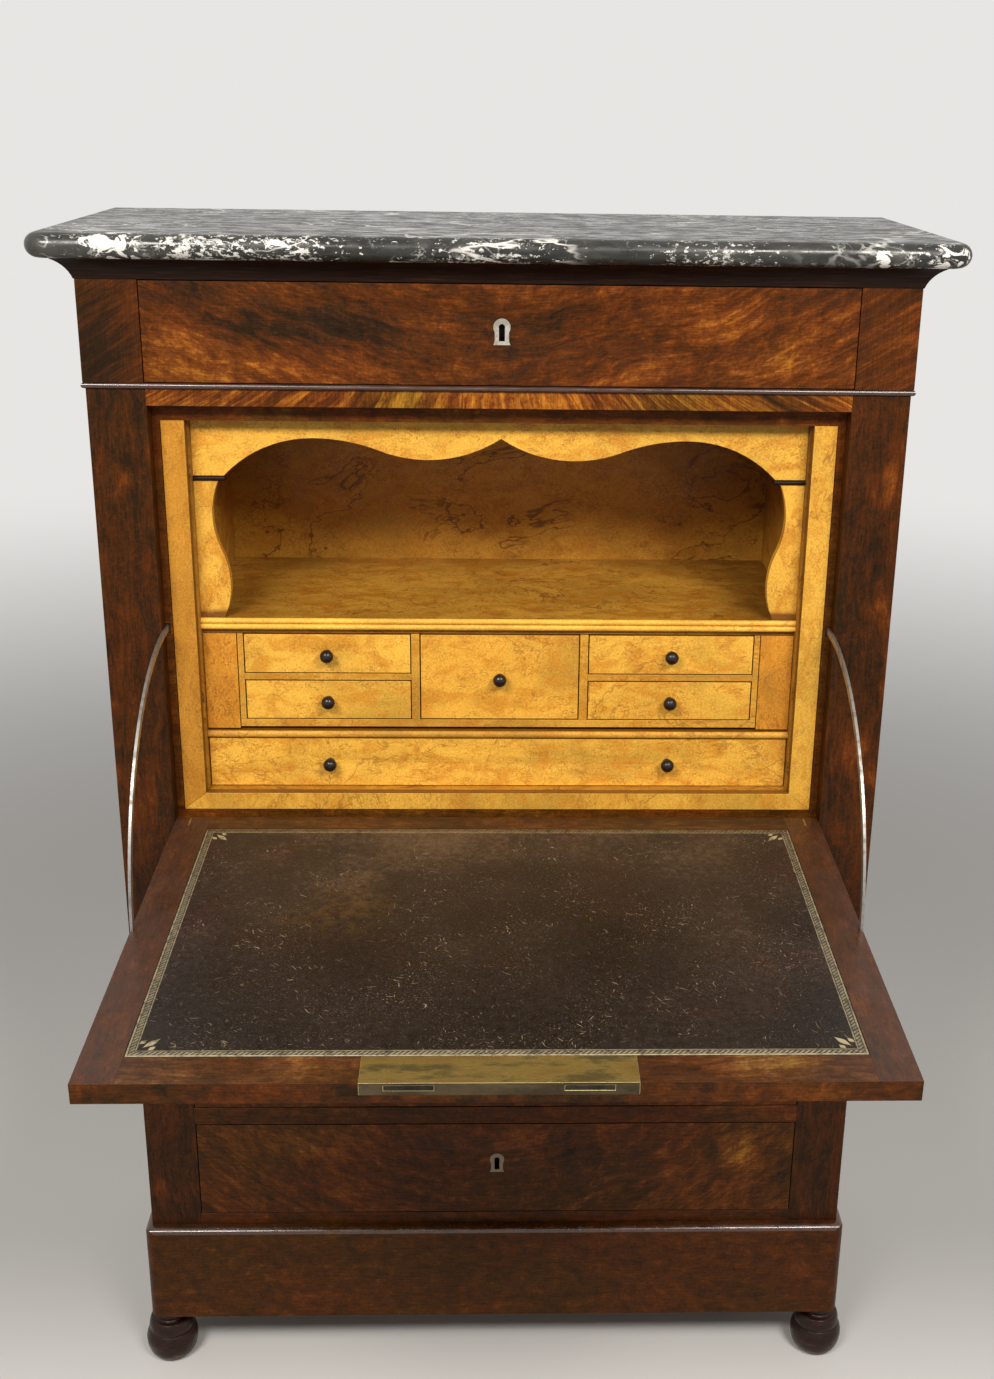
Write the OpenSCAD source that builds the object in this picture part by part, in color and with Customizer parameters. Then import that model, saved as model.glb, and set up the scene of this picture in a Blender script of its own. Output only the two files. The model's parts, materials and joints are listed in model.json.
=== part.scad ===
// Drop-front secretary: a tall case with a marble top, a frieze drawer, a fall that opens into
// a writing surface on quadrant stays, a maple interior of small drawers and a niche, and three
// long drawers on a plinth with bun feet. Lengths are in millimetres and angles in degrees.

/* [Case] */
// Width over the pilasters
case_w = 898; // [890:1:960]
// Depth from the pilaster fronts to the back edge
case_d = 356; // [350:1:400]
// Width of each pilaster
pilaster_w = 64; // [60:0.5:72]
// Thickness of the side panels
side_t = 22; // [18:0.5:23]
// Height of the opening that the fall closes
opening_h = 518.5; // [500:0.5:560]
// Thickness of the rear frame
back_t = 12; // [10:0.5:16]

/* [Marble top and cornice] */
// Thickness of the marble
marble_t = 26; // [20:0.5:32]
// Overhang of the marble beyond the frieze at each side
marble_side = 45; // [34:0.5:52]
// Overhang of the marble beyond the frieze at the front
marble_front = 36; // [34:0.5:46]
// Radius of the marble's front corners, seen from above
marble_corner_r = 26; // [16:1:36]
// Height of the cornice moulding
cornice_h = 23; // [18:0.5:30]
// How far the cornice flares out
cornice_flare = 19.5; // [16:0.5:30]
// Depth of the cornice's hollow, square to its slope
cornice_hollow = 3; // [1.5:0.5:4]

/* [Frieze] */
// Height of the frieze
frieze_h = 109.5; // [96:0.5:130]
// How far the frieze stands proud of the pilasters
frieze_proud = 2.5; // [1:0.5:4]
// Height of the bead under the frieze
bead_h = 6.5; // [5:0.5:9]
// How far the bead stands proud of the pilasters
bead_proud = 4; // [3.5:0.5:6]
// Height of the rail that carries the bead
upper_rail_h = 25.3; // [22:0.1:34]

/* [Long drawers] */
// Height of the lowest drawer's opening
lower_drawer_h = 136.5; // [120:0.5:160]
// Height of the two openings above it
long_drawer_h = 163.25; // [140:0.25:190]
// Height of the rails between the drawers
mid_rail_h = 25; // [20:0.5:32]
// Height of the rail below the lowest drawer
lower_rail_h = 17; // [14:0.5:24]
// Height of the sill under the fall
sill_h = 27; // [24:0.5:36]
// Depth of the rails behind the pilaster fronts
rail_d = 45; // [40:1:60]
// Thickness of the drawer fronts
front_t = 20; // [18:0.5:24]
// Thickness of the drawer sides and backs
drawer_wall = 11; // [8:0.5:14]
// Thickness of the drawer bottoms
drawer_floor = 7; // [5:0.5:10]

/* [Plinth and feet] */
// Height of the plinth
plinth_h = 138.5; // [110:0.5:170]
// How far the plinth stands proud of the case at each side
plinth_proud = 9; // [6:0.5:14]
// How far the plinth stands proud of the pilasters at the front
plinth_front = 13; // [6:0.5:18]
// Thickness of the plinth boards
plinth_t = 22; // [18:0.5:26]
// Radius of the plinth's upright corners
plinth_corner_r = 14; // [10:0.5:18]
// Radius of the plinth's rounded top edge
plinth_edge_r = 8; // [4:0.5:9]
// Height of the bun feet
foot_h = 83.5; // [60:0.5:96]
// Diameter of the bun feet
foot_dia = 68; // [60:1:84]
// How far the bun feet stand out beyond the plinth's sides
foot_out = 15; // [6:0.5:18]

/* [Fall] */
// Thickness of the fall
fall_t = 21.3; // [20:0.1:24]
// Distance of the pivot from the fall's outer face and from its lower edge
pivot_inset = 6.5; // [6:0.1:7]
// Degrees by which the open fall dips below level
fall_dip = 2; // [0:0.5:4]
// Width of the fall's side borders
border_side = 40.5; // [38:0.5:56]
// Width of the border along the hinged edge
border_hinge = 30; // [26:0.5:40]
// Width of the border along the lock edge
border_lock = 40.5; // [38:0.5:52]
// Thickness of the leather
leather_t = 1.2; // [0.8:0.1:2]
// Thickness of the veneer on the outer face
veneer_t = 1.5; // [0.8:0.1:2.5]
// Length of the brass lock plate
lock_plate_w = 254; // [230:1:280]
// Radius of the quadrant stays along their middle line
stay_r = 250; // [220:1:270]
// Width of the stay's steel strip
stay_w = 8; // [6:0.5:14]
// Thickness of the stay's steel strip
stay_t = 3; // [2.5:0.1:4]

/* [Interior] */
// Width of the maple stiles around the interior
stile_w = 26.5; // [20:0.5:32]
// How far the small drawers lie behind the face of the stiles
inner_set = 21.5; // [16:0.5:26]
// Depth of the small drawers' space
inner_d = 255; // [220:1:270]
// Height of the maple rail along the bottom
base_rail_h = 21; // [18:0.5:26]
// Height of the wide drawer's opening
wide_drawer_h = 63.5; // [52:0.5:76]
// Height of the openings of the row of small drawers
small_row_h = 107.5; // [96:0.5:120]
// Half width of the middle drawer's opening
centre_half = 94.5; // [80:0.5:110]
// Width of the blank panels at the ends of the row
blank_w = 40; // [30:0.5:50]
// Thickness of the shelf above the row
shelf_t = 14; // [12:0.5:18]
// Diameter of the turned knobs
knob_dia = 16; // [12:0.5:19]

/* [Hidden] */
$fn = 48;

// Colours
mahogany = [0.36, 0.16, 0.07];
dark_mahogany = [0.22, 0.1, 0.06];
maple = [0.85, 0.6, 0.22];
oak = [0.62, 0.46, 0.28];
ebonised = [0.07, 0.05, 0.04];
brass = [0.6, 0.5, 0.24];
steel = [0.62, 0.6, 0.57];

// Clearances: between glued pieces, round a drawer front, round a drawer box, round the fall
glue = 0.1;
front_gap = 1;
box_gap = 0.5;
run_gap = 0.4;
fall_gap = 0.5;
fall_end_gap = 1;
fit_gap = 0.2;

// Heights, from the floor up
z_plinth = foot_h;
z_case = z_plinth + plinth_h;
rail_z = [z_case + lower_rail_h,
    z_case + lower_rail_h + lower_drawer_h + mid_rail_h,
    z_case + lower_rail_h + lower_drawer_h + 2*mid_rail_h + long_drawer_h];
drawer_h = [lower_drawer_h, long_drawer_h, long_drawer_h];
z_sill = rail_z[2] + long_drawer_h;
z_open = z_sill + sill_h;
z_head = z_open + opening_h;
z_frieze = z_head + upper_rail_h;
z_cornice = z_frieze + frieze_h;
z_marble = z_cornice + cornice_h;

// Half widths, from the outside in: the pilasters leave the opening clear between them
case_half = case_w/2;
side_in = case_half - side_t;
open_half = case_half - pilaster_w;
frieze_half = case_half + frieze_proud;
plinth_half = case_half + plinth_proud;
back_y = case_d - back_t;

// Boards hidden inside the case; the guides reach past the opening's edge to the drawer boxes
dust_t = 10;
guide_lap = 5.5;
frieze_guide_lap = 1.5;
guide_h = 18;

// The fall, drawn upright and closed, and then turned down about its pivot
fall_half = open_half - fall_gap;
fall_z0 = z_open + fall_end_gap;
fall_z1 = z_head - fall_end_gap;
fall_len = fall_z1 - fall_z0;
pivot_z = fall_z0 + pivot_inset;
fall_angle = 90 + fall_dip;
panel_half = fall_half - border_side;
panel_z = [fall_z0 + border_hinge, fall_z1 - border_lock];

// The stops behind the fall clear the corner that swings round the pivot
corner_swing = sqrt(pow(fall_t - pivot_inset, 2) + pow(pivot_inset, 2));
swing_gap = 0.84;
stop_y = pivot_inset + corner_swing + swing_gap;
stop_t = 12.5;
stop_lap = 8;
head_stop_h = 20;
hinge_rail_h = 28;

// The quadrant stays and the slots that they slide through
stay_x = [fall_half - fit_gap - stay_t, fall_half - fit_gap];
stay_in = stay_r - stay_w/2;
stay_out = stay_r + stay_w/2;
heel_lip = 6;
heel_play = 0.3;
heel_angle = fall_angle + asin((stop_y + stop_t + heel_play - pivot_inset)/(stay_in - heel_lip));
heel_sweep = 2.6;
strip_end = 0.15;
slot_gap = 1.3;
slot_z = [pivot_z + sqrt(pow(stay_in, 2) - pow(stop_y + stop_t - pivot_inset, 2)) - slot_gap,
    pivot_z + sqrt(pow(stay_out, 2) - pow(stop_y - pivot_inset, 2)) + slot_gap];
foot_reach = 45;
stay_foot_y = [5.5, 17.5];
foot_back = 0.4;
foot_face = 0.1;

// The lock of the fall
bolt_throw = 9;
bolt_x = [59.5, 104];
bolt_inset = 3.4;
fall_bolt_t = 4.6;
bolt_y = [fall_t - bolt_inset - fall_bolt_t, fall_t - bolt_inset];
bolt_bar_h = 8;
bolt_gap = 0.4;
mortise_gap = 0.8;
lock_skin = 1.2;
lock_fold = 13;
lock_case_half = 112;
lock_case_h = 35;

// Keyholes, their plates, and the locks of the drawers
key_r = 3.4;
key_slot = [6.4, 15];
plate_r = 9.3;
plate_foot = 4;
drawer_key_drop = 54.5;
frieze_key_drop = 45;
key_plate_margin = 1.5;
fall_key_drop = border_lock - key_slot[1] - plate_foot - key_plate_margin;
drawer_lock_w = 60;
drawer_lock_t = 10;
drawer_lock_below = 22;

// The hinge: a pin on a plate in the pilaster, and a socket in the fall
pin_r = 3;
pin_gap = 0.05;
pin_reach = 16;
socket_r = 5.4;
pin_plate_t = 2;
pin_plate_w = 12;
pin_plate_l = 44;
pin_plate_rise = 10;

// The maple interior
stile_out = open_half - stop_lap - 0.5;
stile_in = stile_out - stile_w;
unit_half = stile_in - 2;
unit_side_t = 10;
unit_back_t = 8;
unit_floor_t = 14;
unit_top_t = 11.5;
unit_head_gap = 0.5;
unit_top = z_head - head_stop_h - unit_head_gap;
stile_t = 11;
stile_y = stop_y + stile_t;
face_y = stop_y + inner_set;
unit_back_y = face_y + inner_d;
z_deck = z_open + hinge_rail_h;
z_wide = z_deck + base_rail_h;
z_bead = z_wide + wide_drawer_h;
bead_board_t = 9.5;
row_gap = 4;
row_board_t = 10;
z_row = z_bead + bead_board_t + row_gap + row_board_t;
z_shelf = z_row + small_row_h;
shelf_gap = 5.5;
z_niche = z_shelf + shelf_gap + shelf_t;
z_unit_top = z_head - head_stop_h;
divider_t = 10;
end_divider_t = 7;
separator_t = 8.5;
side_bay = [centre_half + divider_t, unit_half - blank_w - end_divider_t];
bay_h = (small_row_h - separator_t)/2;
inner_front_t = 11;
inner_wall = 6;
inner_floor = 4;
facing_t = 12;

// The whole part is set so that its box is centred over the origin
fall_tip_y = pivot_inset - (fall_t - pivot_inset)*sin(fall_dip)
    - (fall_len - pivot_inset)*cos(fall_dip);
mid_y = (fall_tip_y + case_d)/2;

// Points along an arc, by its centre, radius, first and last angle
function arc(c, r, a0, a1, n = 12) =
    [for (i = [0:n]) let (a = a0 + (a1 - a0)*i/n) [c[0] + r*cos(a), c[1] + r*sin(a)]];
// Radius of an arc that rises by h over the half chord c
function sagitta_r(c, h) = (c*c + h*h)/(2*h);

module seated() translate([0, -mid_y, 0]) children();
module opened() seated() translate([0, pivot_inset, pivot_z]) rotate([fall_angle, 0, 0])
    translate([0, -pivot_inset, -pivot_z]) children();
module pair() {
    children();
    mirror([1, 0, 0]) children();
}
// A board by its first and last x, y and z
module board(x, y, z) translate([x[0], y[0], z[0]]) cube([x[1] - x[0], y[1] - y[0], z[1] - z[0]]);
// An outline drawn in x and z, cut through from y[0] to y[1]
module upright(y) translate([0, y[1], 0]) rotate([90, 0, 0]) linear_extrude(y[1] - y[0]) children();
// An outline drawn in y and z, run along x
module along(x) translate([x[0], 0, 0]) rotate([90, 0, 90]) linear_extrude(x[1] - x[0]) children();

// Top

module marble_top() color("dimgray") seated() {
    half = frieze_half + marble_side;
    front = -frieze_proud - marble_front;
    bull = marble_t/2;
    hull() {
        for (s = [-1, 1]) translate([s*(half - marble_corner_r), front + marble_corner_r, z_marble])
            rotate_extrude($fn = 32) {
                translate([marble_corner_r - bull, bull]) circle(bull, $fn = 24);
                square([marble_corner_r - bull, marble_t]);
            }
        for (s = [-1, 1]) translate([s*(half - bull), case_d - 1, z_marble + bull])
            rotate([-90, 0, 0]) cylinder(r = bull, h = 1, $fn = 24);
    }
}

module top_board() color(oak) seated() difference() {
    board([-frieze_half, frieze_half], [-frieze_proud, case_d], [z_cornice, z_marble]);
    bolt_mortise(-frieze_proud, z_cornice);
}

cornice_lip = 0.8;

// The cornice in section: a shallow hollow that slopes out from a narrow foot to a narrow lip
module cove() difference() {
    slope = [cornice_flare - cornice_lip, cornice_h - cornice_lip];
    chord = norm(slope);
    r = sagitta_r(chord/2, cornice_hollow);
    square([cornice_flare, cornice_h]);
    translate([cornice_lip, 0] + slope/2 + (r - cornice_hollow)/chord*[slope[1], -slope[0]]) circle(r);
}

module cornice() color(dark_mahogany) seated() {
    out = frieze_half + cornice_flare;
    front = -frieze_proud;
    intersection() {
        translate([0, front, z_cornice]) along([-out, out]) mirror([1, 0, 0]) cove();
        translate([0, 0, z_cornice]) linear_extrude(cornice_h)
            polygon([[-frieze_half + glue, front], [frieze_half - glue, front],
                [out - glue, front - cornice_flare], [glue - out, front - cornice_flare]]);
    }
    pair() intersection() {
        translate([frieze_half, 0, z_cornice]) upright([front - cornice_flare, case_d]) cove();
        translate([0, 0, z_cornice]) linear_extrude(cornice_h)
            polygon([[frieze_half, front], [out, front - cornice_flare],
                [out, case_d], [frieze_half, case_d]]);
    }
}

// Case

module frieze_blocks() color(mahogany) seated() pair() {
    board([open_half + 1, frieze_half], [-frieze_proud, stop_y], [z_frieze, z_cornice]);
    board([case_half, frieze_half], [stop_y + glue, case_d], [z_frieze, z_cornice]);
}

module bead() {
    square([bead_proud - bead_h/2, bead_h]);
    translate([bead_proud - bead_h/2, bead_h/2]) circle(bead_h/2);
}

module bead_moulding() color(dark_mahogany) seated() {
    out = case_half + bead_proud;
    z = z_frieze - bead_h;
    intersection() {
        translate([0, 0, z]) along([-out, out]) mirror([1, 0, 0]) bead();
        translate([0, 0, z]) linear_extrude(bead_h)
            polygon([[glue - case_half, 0], [case_half - glue, 0],
                [out - glue, -bead_proud], [glue - out, -bead_proud]]);
    }
    pair() intersection() {
        translate([case_half, 0, z]) upright([-bead_proud, case_d]) bead();
        translate([0, 0, z]) linear_extrude(bead_h)
            polygon([[case_half, 0], [out, -bead_proud], [out, case_d], [case_half, case_d]]);
    }
}

module side_panels() color(mahogany) seated() pair()
    board([side_in, case_half], [stop_y, case_d], [z_case, z_cornice]);

module pilasters() color(dark_mahogany) seated() pair() difference() {
    board([open_half, case_half], [0, stop_y], [z_case, z_frieze]);
    board([open_half - 1, open_half + pin_plate_t], pin_plate_y(), pin_plate_z());
}

module upper_rail() color(mahogany) seated() difference() {
    board([-open_half, open_half], [0, rail_d], [z_head, z_frieze]);
    pair() board([bolt_x[0] - mortise_gap, bolt_x[1] + mortise_gap],
        [bolt_y[0] - mortise_gap, bolt_y[1] + mortise_gap], [z_head - 1, z_head + bolt_throw + 3]);
}

// Strips round the opening behind the fall: the side ones are slotted for the stays
module fall_stops() color(dark_mahogany) seated() {
    pair() difference() {
        board([open_half - stop_lap, side_in], [stop_y, stop_y + stop_t], [z_open, z_head]);
        board([stay_x[0] - slot_gap, stay_x[1] + slot_gap], [stop_y - 1, stop_y + stop_t + 1], slot_z);
    }
    half = open_half - stop_lap - glue;
    board([-half, half], [stop_y, stile_y], [z_unit_top, z_head]);
    board([-half, half], [stop_y, rail_d], [z_open, z_deck]);
}

deck_t = 22;
heel_gap = 5;

// Notches at the ends of the deck let the heels of the stays pass when the fall is shut
module deck_board() color(oak) seated() difference() {
    board([-side_in, side_in], [rail_d, back_y], [z_deck - deck_t, z_deck]);
    pair() board([stay_x[0] - heel_gap, side_in + 1],
        [pivot_inset + stay_in - heel_lip - heel_gap, pivot_inset + stay_out + heel_lip + heel_gap],
        [z_deck - deck_t - 1, z_deck + 1]);
}

module drawer_rails() color(mahogany) seated() {
    board([-open_half, open_half], [0, rail_d], [z_case, rail_z[0]]);
    for (i = [0:2]) difference() {
        z = rail_z[i] + drawer_h[i];
        board([-open_half, open_half], [0, rail_d], [z, i < 2 ? rail_z[i + 1] : z_open]);
        bolt_mortise(0, z);
    }
}

module dust_boards() color(oak) seated() for (z = [rail_z[0], rail_z[1], rail_z[2], z_frieze])
    board([-side_in, side_in], [rail_d, back_y], [z - dust_t, z]);

module drawer_guides() color(oak) seated() pair() {
    for (z = rail_z) board([open_half - guide_lap, side_in], [rail_d, back_y], [z, z + guide_h]);
    board([open_half - frieze_guide_lap, side_in], [stop_y + glue, back_y],
        [z_frieze, z_frieze + guide_h]);
}

bottom_t = 18;

module bottom_board() color(oak) seated()
    board([plinth_t - plinth_half, plinth_half - plinth_t],
        [plinth_t - plinth_front, case_d - plinth_t], [z_case - bottom_t, z_case]);

// Outline of a board with its outer top edge rounded: outer face at 0, inner face at t
module rounded_top(t) {
    square([t, plinth_h - plinth_edge_r]);
    translate([plinth_edge_r, 0]) square([t - plinth_edge_r, plinth_h]);
    translate([plinth_edge_r, plinth_h - plinth_edge_r]) circle(plinth_edge_r);
}

// The front board keeps its rounded corners; the sides butt against its back
module plinth_boards() translate([0, 0, z_plinth]) {
    front = -plinth_front;
    joint = front + plinth_t;
    intersection() {
        translate([0, front, 0]) along([-plinth_half, plinth_half]) rounded_top(plinth_t);
        linear_extrude(plinth_h) {
            translate([-plinth_half, front + plinth_corner_r])
                square([2*plinth_half, plinth_t - plinth_corner_r]);
            translate([plinth_corner_r - plinth_half, front])
                square([2*(plinth_half - plinth_corner_r), plinth_t]);
            for (s = [-1, 1]) translate([s*(plinth_half - plinth_corner_r), front + plinth_corner_r])
                circle(plinth_corner_r);
        }
        upright([front, joint]) {
            square([2*plinth_half, 2*(plinth_h - plinth_edge_r)], center = true);
            square([2*(plinth_half - plinth_edge_r), 2*plinth_h], center = true);
            for (s = [-1, 1]) translate([s*(plinth_half - plinth_edge_r), plinth_h - plinth_edge_r])
                circle(plinth_edge_r);
        }
    }
    pair() translate([plinth_half, 0, 0]) mirror([1, 0, 0]) upright([joint + glue, case_d])
        rounded_top(plinth_t);
    back_half = plinth_half - plinth_t - glue;
    board([-back_half, back_half], [case_d - plinth_t + glue, case_d], [0, plinth_h]);
}

foot_r = foot_dia/2;
foot_set = 1;
foot_x = plinth_half + foot_out - foot_r;
foot_y = [foot_r + foot_set - plinth_front, case_d - foot_r - foot_set];
dowel_r = 6.5;
dowel_h = 25;
block = [50, 50, 60];

// The feet stand so far out that each dowel sits half in a side board and half in a corner block
module dowel_holes() pair() for (y = foot_y) translate([foot_x, y, z_plinth - 1])
    cylinder(r = dowel_r + fit_gap, h = dowel_h + 2);

module plinth() color(mahogany) seated() difference() {
    plinth_boards();
    dowel_holes();
}

module corner_blocks() color(oak) seated() difference() {
    pair() for (i = [0, 1]) {
        x = plinth_half - plinth_t - glue;
        y = i == 0 ? plinth_t - plinth_front + glue : case_d - plinth_t - glue - block[1];
        translate([x - block[0], y, z_plinth]) cube(block);
    }
    dowel_holes();
}

// A turned foot from the floor up: the bun, a ring cut in it, a shoulder, a hollow neck, a collar and
// the dowel. Each pair of a radius and a height is given as shares of the foot's own.
foot_sole = 0.59;
foot_widest = 0.32;
foot_ring = [0.87, 0.5];
foot_shoulder = [0.72, 0.7];
foot_neck = [0.56, 0.76];
foot_collar = [0.68, 0.82];
collar_h = 0.07;
collar_edge = 0.02;
ring_cut = 1.5;

module bun_feet() color(ebonised) seated() pair() for (y = foot_y) translate([foot_x, y, 0])
    rotate_extrude() {
        bun_rise = (foot_ring[1] - foot_widest)/sqrt(1 - pow(foot_ring[0], 2));
        outline = concat(
            [for (i = [0:8]) let (a = 90*i/8)
                [foot_sole + (1 - foot_sole)*sin(a), foot_widest*(1 - cos(a))]],
            [for (i = [1:4]) let (a = acos(foot_ring[0])*i/4) [cos(a), foot_widest + bun_rise*sin(a)]],
            [foot_ring - [ring_cut/foot_r, -ring_cut/2/foot_h]],
            [for (i = [0:5]) let (a = 90*i/5)
                [foot_shoulder[0] + (foot_ring[0] - foot_shoulder[0])*cos(a),
                foot_ring[1] + ring_cut/foot_h + (foot_shoulder[1] - foot_ring[1])*sin(a)]],
            [for (i = [1:5]) let (a = 90*i/5)
                [foot_neck[0] + (foot_shoulder[0] - foot_neck[0])*(1 - sin(a)),
                foot_neck[1] - (foot_neck[1] - foot_shoulder[1] - ring_cut/foot_h)*cos(a)]],
            [foot_collar, foot_collar + [collar_edge, collar_edge],
                foot_collar + [collar_edge, collar_h - collar_edge],
                foot_collar + [0, collar_h], [foot_sole, foot_collar[1] + collar_h], [foot_sole, 1]]);
        polygon(concat([[0, 0]], [for (p = outline) [p[0]*foot_r, p[1]*foot_h]],
            [[dowel_r, foot_h], [dowel_r, foot_h + dowel_h], [0, foot_h + dowel_h]]));
    }

// Back: three upright panels held in a grooved frame
back_stile = 70;
back_bay = (2*side_in - 4*back_stile)/3;
back_foot_rail = 90;
back_head_rail = 80;
panel_lap = 8;
panel_t = 4.5;
panel_set = 3.5;

module back_frame() color(oak) seated() difference() {
    board([-side_in, side_in], [back_y, case_d], [z_case, z_cornice]);
    for (i = [-1:1]) translate([i*(back_bay + back_stile), 0, 0]) {
        board([-back_bay/2, back_bay/2], [back_y - 1, case_d + 1],
            [z_case + back_foot_rail, z_cornice - back_head_rail]);
        back_panel(fit_gap);
    }
}

module back_panel(gap) {
    lap = panel_lap + gap;
    board([-back_bay/2 - lap, back_bay/2 + lap],
        [back_y + panel_set - gap, back_y + panel_set + panel_t + gap],
        [z_case + back_foot_rail - lap, z_cornice - back_head_rail + lap]);
}

module back_panels() color(oak) seated() for (i = [-1:1])
    translate([i*(back_bay + back_stile), 0, 0]) back_panel(0);

// Fall and its hinge

function pin_plate_y() = [pivot_inset - pin_plate_w/2, pivot_inset + pin_plate_w/2];
function pin_plate_z() = [pivot_z + pin_plate_rise - pin_plate_l, pivot_z + pin_plate_rise];

module pivot_bar(r, x) translate([x[0], pivot_inset, pivot_z]) rotate([0, 90, 0])
    cylinder(r = r, h = x[1] - x[0]);

module hinge_pins() color(brass) seated() pair() {
    board([open_half + pin_gap, open_half + pin_plate_t], pin_plate_y(), pin_plate_z());
    pivot_bar(pin_r, [open_half - pin_reach, open_half + 1]);
}

socket_x = [open_half - pin_reach - 3, fall_half];
cheek_t = 2;
cheek_half = 3;
cheek_rise = 15;

// The cheek is let in flush with the inner face of the fall
module socket_shape(gap) {
    pivot_bar(socket_r + gap, [socket_x[0] - gap, socket_x[1] + gap]);
    board([socket_x[0] - gap, socket_x[0] + cheek_t + gap],
        [pivot_inset - cheek_half - gap, fall_t + gap],
        [pivot_z - cheek_half - gap, pivot_z + cheek_rise + gap]);
}

module fall_hinge_sockets() color(brass) opened() pair() difference() {
    intersection() {
        socket_shape(0);
        board([0, fall_half], [0, fall_t], [fall_z0, fall_z1]);
    }
    pivot_bar(pin_r + pin_gap, [open_half - pin_reach - 0.5, open_half + 1]);
}

// The lower outer edge is rounded about the pivot, so that it turns clear of the sill
module hinge_rail_of_fall(x) {
    pivot_bar(pivot_inset, x);
    board(x, [pivot_inset, fall_t], [fall_z0, pivot_z]);
    board(x, [0, fall_t], [pivot_z, panel_z[0] - glue]);
}

module fall_frame() color(mahogany) opened() {
    side = [panel_half + glue, fall_half];
    pair() difference() {
        union() {
            hinge_rail_of_fall(side);
            board(side, [0, fall_t], [pivot_z, fall_z1]);
        }
        stay_shape(fit_gap);
        socket_shape(fit_gap);
    }
    hinge_rail_of_fall([-panel_half, panel_half]);
    difference() {
        board([-panel_half, panel_half], [0, fall_t], [panel_z[1] + glue, fall_z1]);
        lock_plate_shape(glue);
        board([-lock_case_half - fit_gap, lock_case_half + fit_gap],
            [bolt_y[0] - lock_skin - fit_gap, fall_t + 1], [fall_z1 - lock_case_h - fit_gap, fall_z1 + 1]);
        fall_keyhole([-1, fall_t]);
        upright([-1, veneer_t]) translate([0, fall_z1 - fall_key_drop]) plate_outline(glue);
    }
}

module fall_panel() color(mahogany) opened()
    board([-panel_half, panel_half], [0, fall_t - leather_t - glue], panel_z);

module fall_leather() color([0.15, 0.1, 0.07]) opened()
    board([-panel_half, panel_half], [fall_t - leather_t, fall_t], panel_z);

// The lock plate covers the lock and folds over the edge, where the bolts come out
module lock_plate_shape(gap) {
    half = lock_plate_w/2 + gap;
    board([-half, half], [fall_t - lock_skin - gap, fall_t + gap],
        [panel_z[1] + 2*glue - gap, fall_z1 + gap]);
    board([-half, half], [fall_t - lock_fold - gap, fall_t + gap],
        [fall_z1 - lock_skin - gap, fall_z1 + gap]);
}

module fall_lock_plate() color(brass) opened() {
    difference() {
        lock_plate_shape(0);
        pair() board([bolt_x[0] - bolt_gap, bolt_x[1] + bolt_gap],
            [bolt_y[0] - bolt_gap, bolt_y[1] + bolt_gap],
            [fall_z1 - lock_skin - 1, fall_z1 + 1]);
    }
    difference() {
        upright([0, veneer_t]) translate([0, fall_z1 - fall_key_drop]) plate_outline(0);
        fall_keyhole([-1, veneer_t + 1]);
    }
}

module fall_lock_case() color(steel) opened() difference() {
    board([-lock_case_half, lock_case_half], [bolt_y[0] - lock_skin, fall_t - lock_skin - glue],
        [fall_z1 - lock_case_h, fall_z1 - lock_skin - glue]);
    board([-bolt_x[1] - bolt_gap, bolt_x[1] + bolt_gap], [bolt_y[0] - bolt_gap, bolt_y[1] + bolt_gap],
        [fall_z1 - lock_case_h + 3, fall_z1]);
    fall_keyhole([0, bolt_y[0]]);
}

// Both bolts hang on one bar and slide together out of the lock edge
module fall_bolts() color(steel) opened() {
    foot = fall_z1 - lock_case_h + 4;
    board([-bolt_x[1], bolt_x[1]], bolt_y, [foot, foot + bolt_bar_h]);
    pair() board(bolt_x, bolt_y, [foot, fall_z1 - bolt_gap]);
}

module fall_keyhole(y) upright(y) translate([0, fall_z1 - fall_key_drop]) keyhole();

// A steel quadrant, its heel inside the case and its foot let into the fall's side edge
module stay_shape(gap) {
    x0 = stay_x[0] - gap;
    t = fall_half - x0 + (gap > 0 ? 1 : -fit_gap);
    translate([x0, pivot_inset, pivot_z]) rotate([90, 0, 90]) stay_arc(t, gap);
    board([x0 - foot_back, x0 + t + foot_face], [stay_foot_y[0] - gap, stay_foot_y[1] + gap],
        [pivot_z + stay_r - foot_reach - gap, pivot_z + stay_r + foot_reach + gap]);
}

// The strip's arc in the plane of the fall's swing, with the fall upright at 90 degrees, or with
// a gap the straight slot that it needs in the fall
module stay_arc(t, gap) {
    end = 90 - heel_angle - heel_sweep;
    inner = sqrt(pow(stay_in, 2) - pow(fall_t, 2));
    if (gap > 0) translate([0, inner - gap, 0]) cube([fall_t, stay_out - inner + 2*gap, t]);
    else {
        sector(stay_in, stay_out, end, 90 + strip_end, t);
        sector(stay_in - heel_lip, stay_out + heel_lip, end, end + heel_sweep, t);
    }
}

module sector(r0, r1, a0, a1, t) rotate([0, 0, a0]) rotate_extrude(angle = a1 - a0, $fn = 96)
    translate([r0, 0]) square([r1 - r0, t]);

module stays() color(steel) opened() pair() stay_shape(0);

// Keyholes, plates and drawer locks

module keyhole() {
    circle(key_r);
    translate([-key_slot[0]/2, -key_slot[1]]) square(key_slot);
}

module plate_outline(gap) {
    circle(plate_r + gap);
    polygon([[-0.83*plate_r - gap, 0], [0.83*plate_r + gap, 0],
        [0.83*plate_r + gap, -key_slot[1]], [plate_r + gap, -key_slot[1] - plate_foot - gap],
        [-plate_r - gap, -key_slot[1] - plate_foot - gap], [-0.83*plate_r - gap, -key_slot[1]]]);
}

bolt_half = 12;
bolt_t = 4.4;
bolt_l = 28;
bolt_rise = 8;

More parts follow.
